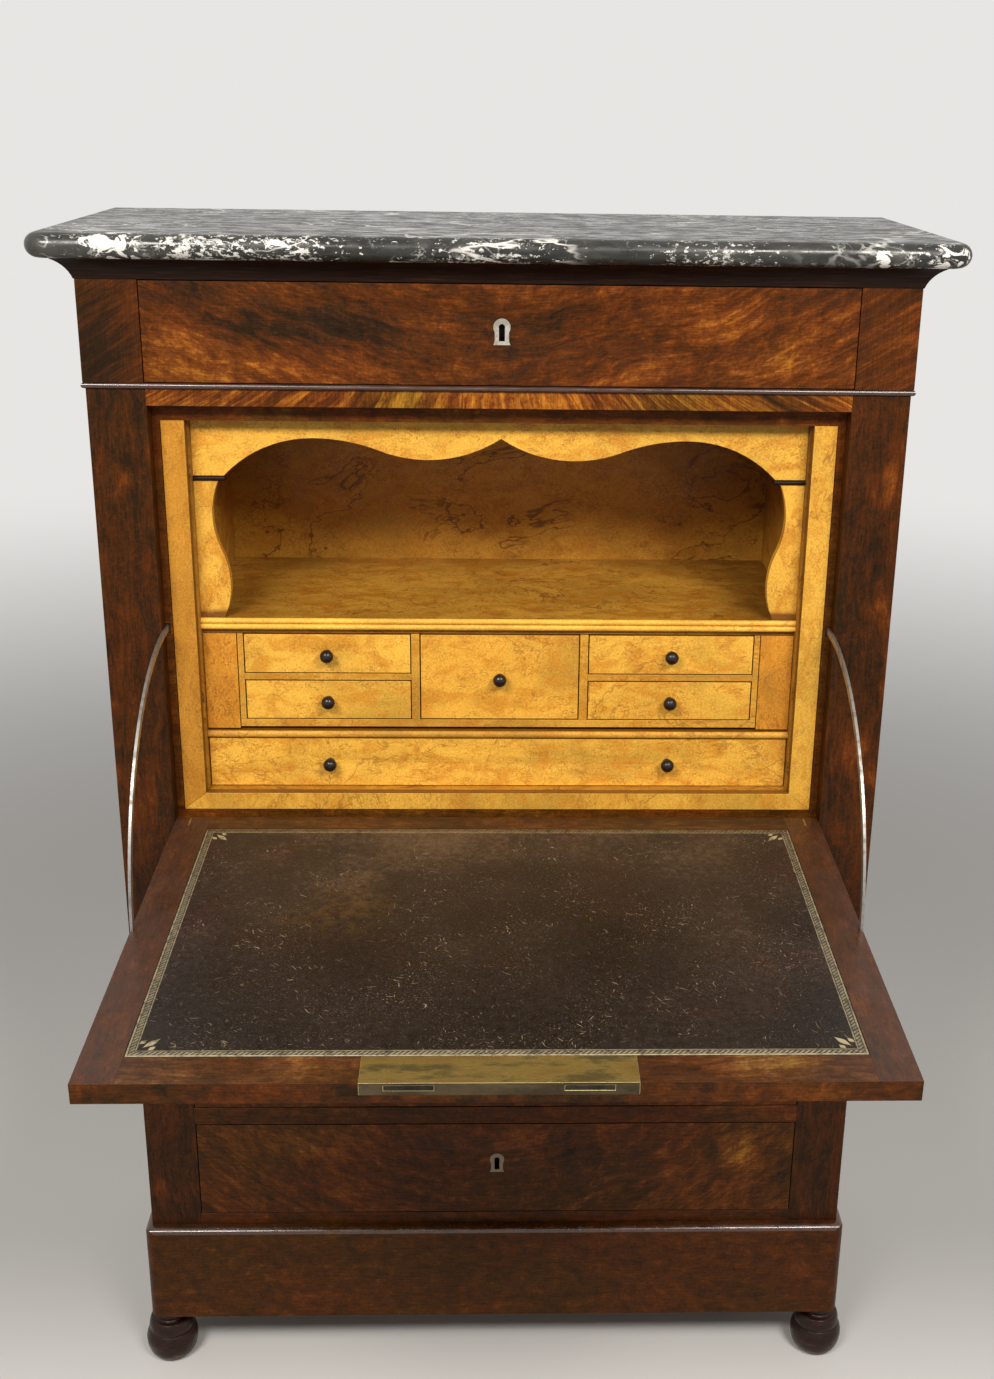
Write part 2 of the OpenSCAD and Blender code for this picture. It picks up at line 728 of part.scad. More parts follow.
// Mortise for a drawer's bolt in the underside of the rail above, behind a front at face y
module bolt_mortise(y, z) {
    mid = y + front_t - drawer_lock_t/2;
    half_t = bolt_t/2 + mortise_gap;
    board([-bolt_half - mortise_gap, bolt_half + mortise_gap], [mid - half_t, mid + half_t],
        [z - 1, z + bolt_rise + 2]);
}

module lock_block(drop, gap) board([-drawer_lock_w/2 - gap, drawer_lock_w/2 + gap],
    [front_t - drawer_lock_t - gap, front_t + gap], [-drop - drawer_lock_below - gap, gap]);

// A lock let in flush behind a front whose top edge is at z = 0, with its plate on the front
module drawer_lock(drop) color(brass) {
    difference() {
        lock_block(drop, 0);
        drawer_bolt_shape(bolt_gap);
        upright([0, front_t - drawer_lock_t/2]) translate([0, -drop]) keyhole();
    }
    difference() {
        upright([0, veneer_t]) translate([0, -drop]) plate_outline(0);
        upright([-1, front_t]) translate([0, -drop]) keyhole();
    }
}

// The bolt, drawn in just below the top edge
module drawer_bolt_shape(gap) {
    y = front_t - drawer_lock_t/2;
    board([-bolt_half - gap, bolt_half + gap], [y - bolt_t/2 - gap, y + bolt_t/2 + gap],
        [-bolt_l - gap, gap > 0 ? 1 : -bolt_gap]);
}

module drawer_bolt(y, top) color(steel) seated() translate([0, y, top]) drawer_bolt_shape(0);

module lock_cuts(drop) {
    lock_block(drop, fit_gap);
    upright([-1, front_t]) translate([0, -drop]) keyhole();
    upright([-1, veneer_t + glue]) translate([0, -drop]) plate_outline(glue);
}

// Drawers

// Sides, back and bottom behind a front of thickness t, from z = 0 up
module drawer_box(half, h, t, d, wall, floor_t) {
    pair() board([half - wall, half], [t + glue, d], [0, h]);
    inner = half - wall - glue;
    board([-inner, inner], [d - wall, d], [floor_t + glue, h]);
    board([-inner, inner], [t + glue, d], [0, floor_t]);
}

// How far the boxes end before the back, and stay below the top of their openings
box_back_gap = 6;
box_head_gap = 12;
inner_back_gap = 5;
inner_head_gap = 8;

function front_top(i) = rail_z[i] + drawer_h[i] - front_gap;
frieze_top = z_cornice - front_gap;

module long_drawer(i) color(mahogany) seated() {
    difference() {
        board([front_gap - open_half, open_half - front_gap], [0, front_t],
            [rail_z[i] + front_gap, front_top(i)]);
        translate([0, 0, front_top(i)]) lock_cuts(drawer_key_drop);
    }
    translate([0, 0, rail_z[i] + run_gap]) drawer_box(open_half - guide_lap - 2*box_gap,
        drawer_h[i] - box_head_gap, front_t, back_y - box_back_gap, drawer_wall, drawer_floor);
}

module long_drawer_lock(i) seated() translate([0, 0, front_top(i)]) drawer_lock(drawer_key_drop);

module frieze_drawer() color(mahogany) seated() translate([0, -frieze_proud, 0]) {
    difference() {
        board([-open_half, open_half], [0, front_t], [z_frieze + front_gap, frieze_top]);
        translate([0, 0, frieze_top]) lock_cuts(frieze_key_drop);
    }
    translate([0, 0, z_frieze + run_gap]) drawer_box(open_half - frieze_guide_lap - 2*box_gap,
        frieze_h - box_head_gap, front_t, back_y - box_back_gap, drawer_wall, drawer_floor);
}

module frieze_drawer_lock() seated() translate([0, -frieze_proud, frieze_top])
    drawer_lock(frieze_key_drop);

// Maple interior

module maple_frame() color(maple) seated() {
    upright([stop_y, stile_y]) polygon([[-stile_out, z_deck + glue], [stile_out, z_deck + glue],
        [stile_in, z_wide], [-stile_in, z_wide]]);
    pair() upright([stop_y, stile_y]) polygon([[stile_out, z_deck + 3*glue], [stile_out, z_unit_top - glue],
        [stile_in + glue, z_unit_top - glue], [stile_in + glue, z_wide]]);
}

module unit_case() color(maple) seated() {
    pair() board([unit_half, unit_half + unit_side_t], [stile_y, unit_back_y], [z_deck, unit_top]);
    board([glue - unit_half, unit_half - glue], [stile_y, unit_back_y], [z_wide - unit_floor_t, z_wide]);
    board([glue - unit_half, unit_half - glue], [face_y + facing_t + glue, unit_back_y],
        [unit_top - unit_top_t, unit_top]);
    board([-unit_half - unit_side_t, unit_half + unit_side_t],
        [unit_back_y + glue, unit_back_y + unit_back_t], [z_deck, unit_top]);
}

shelf_nose = 5;
shelf_step = 3;

// The niche's floor, with a double bead along its front edge
module niche_shelf() color(maple) seated() {
    half = unit_half - glue;
    r = shelf_t/4;
    nose_y = face_y - shelf_nose + r;
    board([-half, half], [face_y + shelf_step, unit_back_y - glue], [z_shelf, z_niche]);
    board([-half, half], [nose_y, face_y + shelf_step], [z_niche - shelf_t, z_niche]);
    for (z = [z_niche - r, z_niche - 3*r]) translate([-half, nose_y, z]) rotate([0, 90, 0])
        cylinder(r = r, h = 2*half);
}

// Scalloped front of the niche: an arch at each side, two lobes and a cusp between them
cusp_rise = 25;
lobe_drop = 47.5;
arch_rise = 24;
strip_drop = 19.5;
strip_w = 35;
arch_w = 101;
arch_lead = 46;
strip_h = 6;
strip_x = unit_half - strip_w;
arch_x = strip_x - arch_w;
lobe_x = (arch_x - arch_lead)/2;
lobe_z = z_unit_top - lobe_drop;
arch_z = lobe_z + arch_rise;
strip_z = lobe_z - strip_drop;
lobe_r = sagitta_r(lobe_x, cusp_rise);
outer_r = sagitta_r(strip_x - arch_x, arch_z - strip_z);
arch_dx = arch_x - lobe_x;
arch_dz = lobe_r - (arch_z - lobe_z);
arch_r = (pow(arch_dx, 2) + pow(arch_dz, 2) - pow(lobe_r, 2))/(2*(lobe_r - arch_dz));
join_a = atan2(lobe_z + lobe_r - (arch_z - arch_r), -arch_dx);
cusp_a = atan2(cusp_rise - lobe_r, -lobe_x);

function valance_edge() = concat(
    arc([lobe_x, lobe_z + lobe_r], lobe_r, cusp_a, join_a - 180, 14),
    arc([arch_x, arch_z - arch_r], arch_r, join_a, 90, 8),
    arc([arch_x, arch_z - outer_r], outer_r, 90, 90 - asin((strip_x - arch_x)/outer_r), 10));

module valance() color(maple) seated() upright([face_y, face_y + facing_t]) {
    half = unit_half - glue;
    edge = valance_edge();
    top = unit_top;
    polygon(concat([[0, top]], edge, [[half, strip_z], [half, top]]));
    mirror([1, 0]) polygon(concat([[0, top]], edge, [[half, strip_z], [half, top]]));
}

module valance_beads() color(dark_mahogany) seated() pair() along([strip_x - 1, unit_half - glue])
    translate([face_y, strip_z - strip_h + glue]) {
        square([facing_t, strip_h - 2*glue]);
        translate([0, strip_h/2 - glue]) circle(strip_h/2 - glue);
    }

// Waved boards at the sides of the niche: a hollow above and a swell below, in equal bends
hollow_w = 19.5;
swell_w = 36.5;

module side_brackets() color(maple) seated() pair() upright([face_y, face_y + facing_t]) {
    top = strip_z - strip_h;
    foot = z_niche + glue;
    hollow_z = top - (top - foot)/4;
    swell_z = foot + (top - foot)/4;
    wave_r = sagitta_r((hollow_z - swell_z)/2, (swell_w - hollow_w)/2);
    bend = asin((hollow_z - swell_z)/2/wave_r);
    polygon(concat(
        [[unit_half - glue, foot], [unit_half - glue, top]],
        arc([unit_half - hollow_w - wave_r, hollow_z], wave_r, bend, -bend, 12),
        arc([unit_half - swell_w + wave_r, swell_z], wave_r, 180 - bend, 180 + bend, 12)));
}

module row_boards() color(maple) seated() {
    half = unit_half - glue;
    r = bead_board_t/2;
    board([-half, half], [face_y, unit_back_y - glue], [z_bead, z_bead + bead_board_t]);
    translate([-half, face_y, z_bead + r]) rotate([0, 90, 0]) cylinder(r = r, h = 2*half);
    z = z_bead + bead_board_t + glue;
    board([-half, half], [face_y + facing_t, unit_back_y - glue], [z, z_row]);
    bay = side_bay[1] + end_divider_t;
    board([-bay, bay], [face_y, face_y + facing_t], [z + row_gap, z_row]);
    pair() row_dividers([z_row + glue, z_shelf - glue]);
}

module row_dividers(z) {
    board([centre_half, centre_half + divider_t], [face_y, unit_back_y - glue], z);
    board([side_bay[1], side_bay[1] + end_divider_t], [face_y, unit_back_y - glue], z);
    board([side_bay[0] + glue, side_bay[1] - glue], [face_y, unit_back_y - glue],
        [z_row + bay_h, z_row + bay_h + separator_t]);
}

module blank_panels() color(maple) seated() pair()
    board([side_bay[1] + end_divider_t + 0.5, unit_half - 0.5], [face_y - 0.5, face_y + facing_t - glue],
        [z_bead + bead_board_t + 2, z_shelf]);

knob_reach = 19;
peg_r = 2.5;
peg_h = 8;

// A turned knob, its peg let into the front behind y = 0
module knob() rotate([90, 0, 0]) {
    r = knob_dia/2;
    rotate_extrude() polygon(concat([[0, -peg_h], [peg_r, -peg_h], [peg_r, 0], [0.62*r, 0],
        [0.62*r, 1.5], [0.4*r, 3], [0.4*r, 6]],
        [for (i = [0:10]) let (a = -60 + 15*i) [r*cos(a), knob_reach - r + 0.9*r*sin(a)]],
        [[0, knob_reach - 0.1*r]]));
}

module peg_hole() rotate([-90, 0, 0]) translate([0, 0, -1]) cylinder(r = peg_r + 0.1, h = peg_h + 1.5);

// A maple drawer that fills x and z, with a hole for a knob at each of knobs
module inner_drawer(x, z, knobs) color(maple) seated() translate([(x[0] + x[1])/2, face_y, z[0]]) {
    half = (x[1] - x[0])/2;
    h = z[1] - z[0];
    difference() {
        board([front_gap - half, half - front_gap], [0, inner_front_t], [front_gap, h - front_gap]);
        for (k = knobs) translate([k, 0, h/2]) peg_hole();
    }
    translate([0, 0, run_gap]) drawer_box(half - 2*box_gap, h - inner_head_gap, inner_front_t,
        inner_d - inner_back_gap, inner_wall, inner_floor);
}

module knobs_at(x, z) color(ebonised) seated() for (k = x) translate([k, face_y, (z[0] + z[1])/2]) knob();

wide_z = [z_wide, z_bead];
row_z = [z_row, z_shelf];
low_z = [z_row, z_row + bay_h];
top_z = [z_shelf - bay_h, z_shelf];
bay_mid = (side_bay[0] + side_bay[1])/2;

module wide_drawer() inner_drawer([-unit_half, unit_half], wide_z, [-bay_mid, bay_mid]);
module wide_drawer_knobs() knobs_at([-bay_mid, bay_mid], wide_z);
module centre_drawer() inner_drawer([-centre_half, centre_half], row_z, [0]);
module centre_drawer_knob() knobs_at([0], row_z);

marble_top();
top_board();
cornice();
frieze_blocks();
bead_moulding();
side_panels();
pilasters();
upper_rail();
fall_stops();
deck_board();
drawer_rails();
dust_boards();
drawer_guides();
bottom_board();
plinth();
corner_blocks();
bun_feet();
back_frame();
back_panels();
hinge_pins();
maple_frame();
unit_case();
niche_shelf();
valance();
valance_beads();
side_brackets();
row_boards();
blank_panels();
fall_frame();
fall_panel();
fall_leather();
fall_lock_plate();
fall_lock_case();
fall_hinge_sockets();
stays();
fall_bolts();
frieze_drawer();
frieze_drawer_lock();
drawer_bolt(-frieze_proud, frieze_top);  // frieze_drawer_bolt
long_drawer(2);  // upper_drawer
long_drawer_lock(2);  // upper_drawer_lock
drawer_bolt(0, front_top(2));  // upper_drawer_bolt
long_drawer(1);  // middle_drawer
long_drawer_lock(1);  // middle_drawer_lock
drawer_bolt(0, front_top(1));  // middle_drawer_bolt
long_drawer(0);  // lower_drawer
long_drawer_lock(0);  // lower_drawer_lock
drawer_bolt(0, front_top(0));  // lower_drawer_bolt
wide_drawer();
wide_drawer_knobs();
centre_drawer();
centre_drawer_knob();
inner_drawer([-side_bay[1], -side_bay[0]], top_z, [0]);  // left_top_drawer
knobs_at([-bay_mid], top_z);  // left_top_drawer_knob
inner_drawer([-side_bay[1], -side_bay[0]], low_z, [0]);  // left_low_drawer
knobs_at([-bay_mid], low_z);  // left_low_drawer_knob
inner_drawer(side_bay, top_z, [0]);  // right_top_drawer
knobs_at([bay_mid], top_z);  // right_top_drawer_knob
inner_drawer(side_bay, low_z, [0]);  // right_low_drawer
knobs_at([bay_mid], low_z);  // right_low_drawer_knob
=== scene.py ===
"""Finishes and fine surfaces of a mahogany secretary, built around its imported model.

Lengths are in metres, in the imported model's own frame: X to the right, Y to the back, Z up.
"""

import json
import math
from functools import cache

import bmesh
import bpy
import numpy as np
from bpy.props import FloatProperty, FloatVectorProperty, PointerProperty
from mathutils import Matrix, Vector

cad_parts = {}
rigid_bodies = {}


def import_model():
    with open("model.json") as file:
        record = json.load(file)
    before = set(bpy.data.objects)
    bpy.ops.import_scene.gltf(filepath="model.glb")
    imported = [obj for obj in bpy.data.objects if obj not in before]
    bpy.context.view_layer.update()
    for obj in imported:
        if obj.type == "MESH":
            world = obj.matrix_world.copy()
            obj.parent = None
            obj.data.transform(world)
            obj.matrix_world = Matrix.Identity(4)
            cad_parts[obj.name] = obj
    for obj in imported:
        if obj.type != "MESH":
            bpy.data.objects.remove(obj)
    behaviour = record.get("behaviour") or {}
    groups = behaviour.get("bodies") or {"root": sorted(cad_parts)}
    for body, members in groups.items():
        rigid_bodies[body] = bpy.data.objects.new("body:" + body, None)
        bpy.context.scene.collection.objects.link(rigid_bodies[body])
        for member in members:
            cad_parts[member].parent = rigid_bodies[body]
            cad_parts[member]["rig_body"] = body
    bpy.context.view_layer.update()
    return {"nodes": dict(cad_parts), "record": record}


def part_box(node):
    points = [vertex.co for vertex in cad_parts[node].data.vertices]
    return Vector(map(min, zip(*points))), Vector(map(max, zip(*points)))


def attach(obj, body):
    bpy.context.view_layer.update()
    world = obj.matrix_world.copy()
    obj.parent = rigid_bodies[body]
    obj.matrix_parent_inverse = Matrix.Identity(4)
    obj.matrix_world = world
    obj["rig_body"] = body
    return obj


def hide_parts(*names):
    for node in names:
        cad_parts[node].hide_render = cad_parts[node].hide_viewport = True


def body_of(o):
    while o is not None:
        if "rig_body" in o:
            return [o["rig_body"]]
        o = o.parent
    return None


bl_info = {
    "name": "Mahogany secretary",
    "version": (1, 0, 0),
    "blender": (4, 5, 0),
    "location": "3D View > Sidebar > Secretary",
    "description": "Builds the finished pieces of a drop-front secretary and its studio",
    "category": "Object",
}

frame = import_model()
MM = 0.001
# Width and height of the photograph in pixels
PHOTO = (994, 1379)
# Points of a new piece, and of a node, that lie closer than this are one
SAME, NODE_SAME = 0.002*MM, 0.01*MM
# Degrees between two faces: below the first they are one face, above the second their edge is sharp
FLAT, SHARP = 0.5, 30.0


def setting(kind, **look):
    """A function that makes settings of one kind from a name, a description and a default."""
    return lambda name, description, default: kind(name=name, description=description, default=default,
                                                   **look)


# Lengths in metres, angles in radians and power in watts
colour = setting(FloatVectorProperty, subtype="COLOR", size=3, min=0.0, max=1.0)
length = setting(FloatProperty, subtype="DISTANCE", unit="LENGTH", precision=5)
angle = setting(FloatProperty, subtype="ANGLE", unit="ROTATION")
power = setting(FloatProperty, subtype="POWER", unit="POWER", min=0.0)
strength = setting(FloatProperty, min=0.0)


class SecretaryWood(bpy.types.PropertyGroup):
    """Colours of the woods and how far their edges are worn round."""

    light: colour("Flame light", "Lightest streaks of the mahogany", (0.56, 0.19, 0.02))
    middle: colour("Flame middle", "Body colour of the mahogany", (0.17, 0.042, 0.006))
    dark: colour("Flame dark", "Darkest figure of the mahogany", (0.024, 0.01, 0.003))
    moulding: colour("Moulding", "Cornice, bead and feet", (0.018, 0.007, 0.004))
    maple: colour("Maple", "Body colour of the maple", (0.85, 0.455, 0.06))
    maple_dark: colour("Maple figure", "Eyes and veins of the maple", (0.28, 0.1, 0.014))
    plain: colour("Plain wood", "Hidden boards and drawer boxes", (0.36, 0.21, 0.1))
    ebony: colour("Black wood", "Turned knobs", (0.016, 0.008, 0.006))
    worn_edge: length("Worn edge", "Radius of the edges of the boards", 0.8*MM)


class SecretaryTrim(bpy.types.PropertyGroup):
    """Colours of the marble, leather and metals."""

    stone: colour("Stone", "Body of the marble", (0.032, 0.032, 0.028))
    vein: colour("Vein", "Veins of the marble", (0.76, 0.74, 0.69))
    leather: colour("Leather", "Writing surface", (0.024, 0.016, 0.012))
    gilding: colour("Gilding", "Tooled border of the leather", (0.42, 0.35, 0.2))
    brass: colour("Brass", "Hinge pins and their sockets", (0.5, 0.4, 0.14))
    steel: colour("Steel", "Stays and bolts", (0.5, 0.48, 0.45))


class SecretaryStage(bpy.types.PropertyGroup):
    """Where the camera stands and how bright the studio is."""

    camera_x: length("Camera X", "Camera's place from side to side", -0.00635)
    camera_y: length("Camera Y", "Camera's place from front to back", -1.64463)
    camera_z: length("Camera height", "Camera's height over the floor", 1.62068)
    turn: angle("Turn", "Camera's turn about the upright axis", -0.0326)
    dip: angle("Dip", "How far the camera looks down", 0.334)
    roll: angle("Roll", "Camera's turn about its own axis", 0.0154)
    lamp: power("Lamps", "Power of each of the two lamps", 57.0)
    fill: strength("Fill", "Strength of the even light from all sides", 0.26)
    pale: colour("Pale ground", "Floor and background", (0.8, 0.79, 0.77))


def settings():
    """The three groups of settings: wood, trim and stage."""
    scene = bpy.context.scene
    return scene.secretary_wood, scene.secretary_trim, scene.secretary_stage


# Meshes


def grid_faces(rows, columns, around=False):
    """Quads between neighbouring rows and columns of a grid; around joins the last column to the first."""
    i, j = np.meshgrid(np.arange(rows - 1), np.arange(columns if around else columns - 1), indexing="ij")
    k = (j + 1) % columns
    corners = [i*columns + j, i*columns + k, (i + 1)*columns + k, (i + 1)*columns + j]
    return np.stack(corners, axis=-1).reshape(-1, 4)


def placed(name, data):
    """A new object of the scene."""
    thing = bpy.data.objects.new(name, data)
    bpy.context.scene.collection.objects.link(thing)
    return thing


def new_piece(name, points, faces, sharp=SHARP, uv=None):
    """A closed or flat piece of points and lists of corners, its doubles merged and faces outwards.

    uv gives each point's place on a sheet.
    """
    mesh = bpy.data.meshes.new(name)
    mesh.from_pydata(np.asarray(points).reshape(-1, 3).tolist(), [], [list(map(int, f)) for f in faces])
    if uv is not None:
        corner = np.empty(len(mesh.loops), dtype=np.int32)
        mesh.loops.foreach_get("vertex_index", corner)
        layer = mesh.uv_layers.new(name="sheet")
        layer.data.foreach_set("uv", np.asarray(uv).reshape(-1, 2)[corner].ravel())
    work = bmesh.new()
    work.from_mesh(mesh)
    bmesh.ops.remove_doubles(work, verts=work.verts, dist=SAME)
    bmesh.ops.recalc_face_normals(work, faces=work.faces)
    smoothed(work, mesh, sharp)
    return placed(name, mesh)


def smoothed(work, mesh, sharp=SHARP):
    """Writes the bmesh into the mesh, shaded smooth but for edges sharper than the angle."""
    work.to_mesh(mesh)
    work.free()
    mesh.shade_smooth()
    mesh.set_sharp_from_angle(angle=math.radians(sharp))


def lathed(profile, centre, segments):
    """Points of a profile of radius and height turned about an upright axis through the centre."""
    turn = np.linspace(0, 2*math.pi, segments, endpoint=False)
    radius, height = np.asarray(profile).T
    x = centre[0] + radius[:, None]*np.cos(turn)
    y = centre[1] + radius[:, None]*np.sin(turn)
    z = np.broadcast_to(centre[2] + height[:, None], x.shape)
    return np.stack([x, y, z], axis=-1)


# The fall's own directions: out along it from the hinge, and up off its leather

hinge = next(j for j in frame["record"]["behaviour"]["joints"] if j["name"] == "fall_hinge")
PIVOT = np.array(hinge["pos_m"])
SWING = math.radians(-hinge["range_deg"][0])
UPRIGHT = Matrix.Translation(PIVOT) @ Matrix.Rotation(-SWING, 4, "X") @ Matrix.Translation(-PIVOT)
OPENED = UPRIGHT.inverted()


def carried(matrix, points):
    """Points moved by a 4x4 matrix."""
    m = np.array(matrix)
    return np.asarray(points) @ m[:3, :3].T + m[:3, 3]


def straight(body, points):
    """Points in the frame in which the body's boards stand square."""
    return carried(UPRIGHT, points) if body in ("fall", "fall_bolts") else np.asarray(points)


# Pieces that keep the shape of their node, with worn edges

bodies = frame["record"]["behaviour"]["bodies"]
BODY = {node: body for body, nodes in bodies.items() for node in nodes}


def merged(node):
    """A node's mesh as a bmesh with its loose triangles joined and its flat faces whole."""
    work = bmesh.new()
    work.from_mesh(frame["nodes"][node].data)
    bmesh.ops.remove_doubles(work, verts=work.verts, dist=NODE_SAME)
    bmesh.ops.dissolve_limit(work, angle_limit=math.radians(FLAT), verts=work.verts, edges=work.edges)
    return work


def solids(work):
    """Lists of the vertices of each solid of a bmesh."""
    left = set(work.verts)
    found = []
    while left:
        solid, reach = [], [left.pop()]
        while reach:
            vert = reach.pop()
            solid.append(vert)
            for edge in vert.link_edges:
                other = edge.other_vert(vert)
                if other in left:
                    left.remove(other)
                    reach.append(other)
        found.append(solid)
    return found


@cache
def boxes_of(body):
    """Lowest and highest corner of every solid that rides on a body, in the frame of its boards."""
    rows = []
    for node in bodies[body]:
        work = merged(node)
        for solid in solids(work):
            points = straight(body, [v.co for v in solid])
            rows.append((points.min(axis=0), points.max(axis=0)))
        work.free()
    return np.array(rows)


# How near a board's edge is to another board where they join, and the share of the wear there
JOINT_REACH = 0.35*MM
JOINT_WEAR = 0.3


def worn(node, wear=1.0):
    """A piece in the shape of its node, its sharp edges rounded.

    An edge whose middle touches the box of another board of its body is a joint and is rounded less.
    """
    wood = settings()[0]
    body = BODY[node]
    work = merged(node)
    weight = work.edges.layers.float.new("bevel_weight_edge")
    boxes = boxes_of(body)
    for solid in solids(work):
        own = straight(body, [v.co for v in solid])
        mine = np.abs(boxes - [own.min(axis=0), own.max(axis=0)]).max(axis=(1, 2)) < NODE_SAME
        others = boxes[~mine]
        edges = [e for e in {e for v in solid for e in v.link_edges}
                 if len(e.link_faces) == 2 and e.calc_face_angle(0) > math.radians(SHARP)]
        if not edges:
            continue
        middle = straight(body, [(e.verts[0].co + e.verts[1].co)/2 for e in edges])
        touch = ((middle[:, None] > others[:, 0] - JOINT_REACH)
                 & (middle[:, None] < others[:, 1] + JOINT_REACH)).all(axis=2).any(axis=1)
        for edge, joint in zip(edges, touch):
            edge[weight] = JOINT_WEAR if joint else 1.0
    mesh = bpy.data.meshes.new(node + "_finished")
    smoothed(work, mesh)
    piece = placed(mesh.name, mesh)
    edge_round = piece.modifiers.new("worn edges", "BEVEL")
    edge_round.limit_method = "WEIGHT"
    edge_round.width = wood.worn_edge*wear
    edge_round.segments = 2
    edge_round.harden_normals = True
    edge_round.use_clamp_overlap = True
    stand_in(piece, node)
    return piece


def stand_in(piece, *nodes):
    """The piece rides, hides and is finished as the nodes that it stands for."""
    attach(piece, BODY[nodes[0]])
    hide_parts(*nodes)


def paint(piece, *materials):
    """The piece's finishes, in the order of its faces' numbers."""
    if not piece.data.materials:
        for material in materials:
            piece.data.materials.append(material)
    for slot in piece.material_slots:
        slot.material = materials[0]
    for slot, material in zip(piece.material_slots, materials):
        slot.material = material


def number_faces(piece, pick):
    """Numbers the faces: pick gives all the numbers from the centres and normals, as the boards stand."""
    mesh = piece.data
    count = len(mesh.polygons)
    centre, normal = np.empty(count*3), np.empty(count*3)
    mesh.polygons.foreach_get("center", centre)
    mesh.polygons.foreach_get("normal", normal)
    body = body_of(piece)
    body = body if isinstance(body, str) else body[0]
    centre, normal = centre.reshape(-1, 3), normal.reshape(-1, 3)
    normal = straight(body, centre + normal) - straight(body, centre)
    mesh.polygons.foreach_set("material_index", pick(straight(body, centre), normal).astype(np.int32))


# Finishes


def sign(kind):
    """A method that adds the node of one kind of sum."""
    return lambda self, *other: self.recipe.maths(kind, self, *other)


class Value:
    """A node's output; each sign of a sum written with it adds a node to its recipe."""

    def __init__(self, recipe, socket):
        self.recipe = recipe
        self.socket = socket

    __add__ = sign("ADD")
    __sub__ = sign("SUBTRACT")
    __mul__ = sign("MULTIPLY")
    __pow__ = sign("POWER")
    __abs__ = sign("ABSOLUTE")

    def __rsub__(self, other):
        return self.recipe.maths("SUBTRACT", other, self)


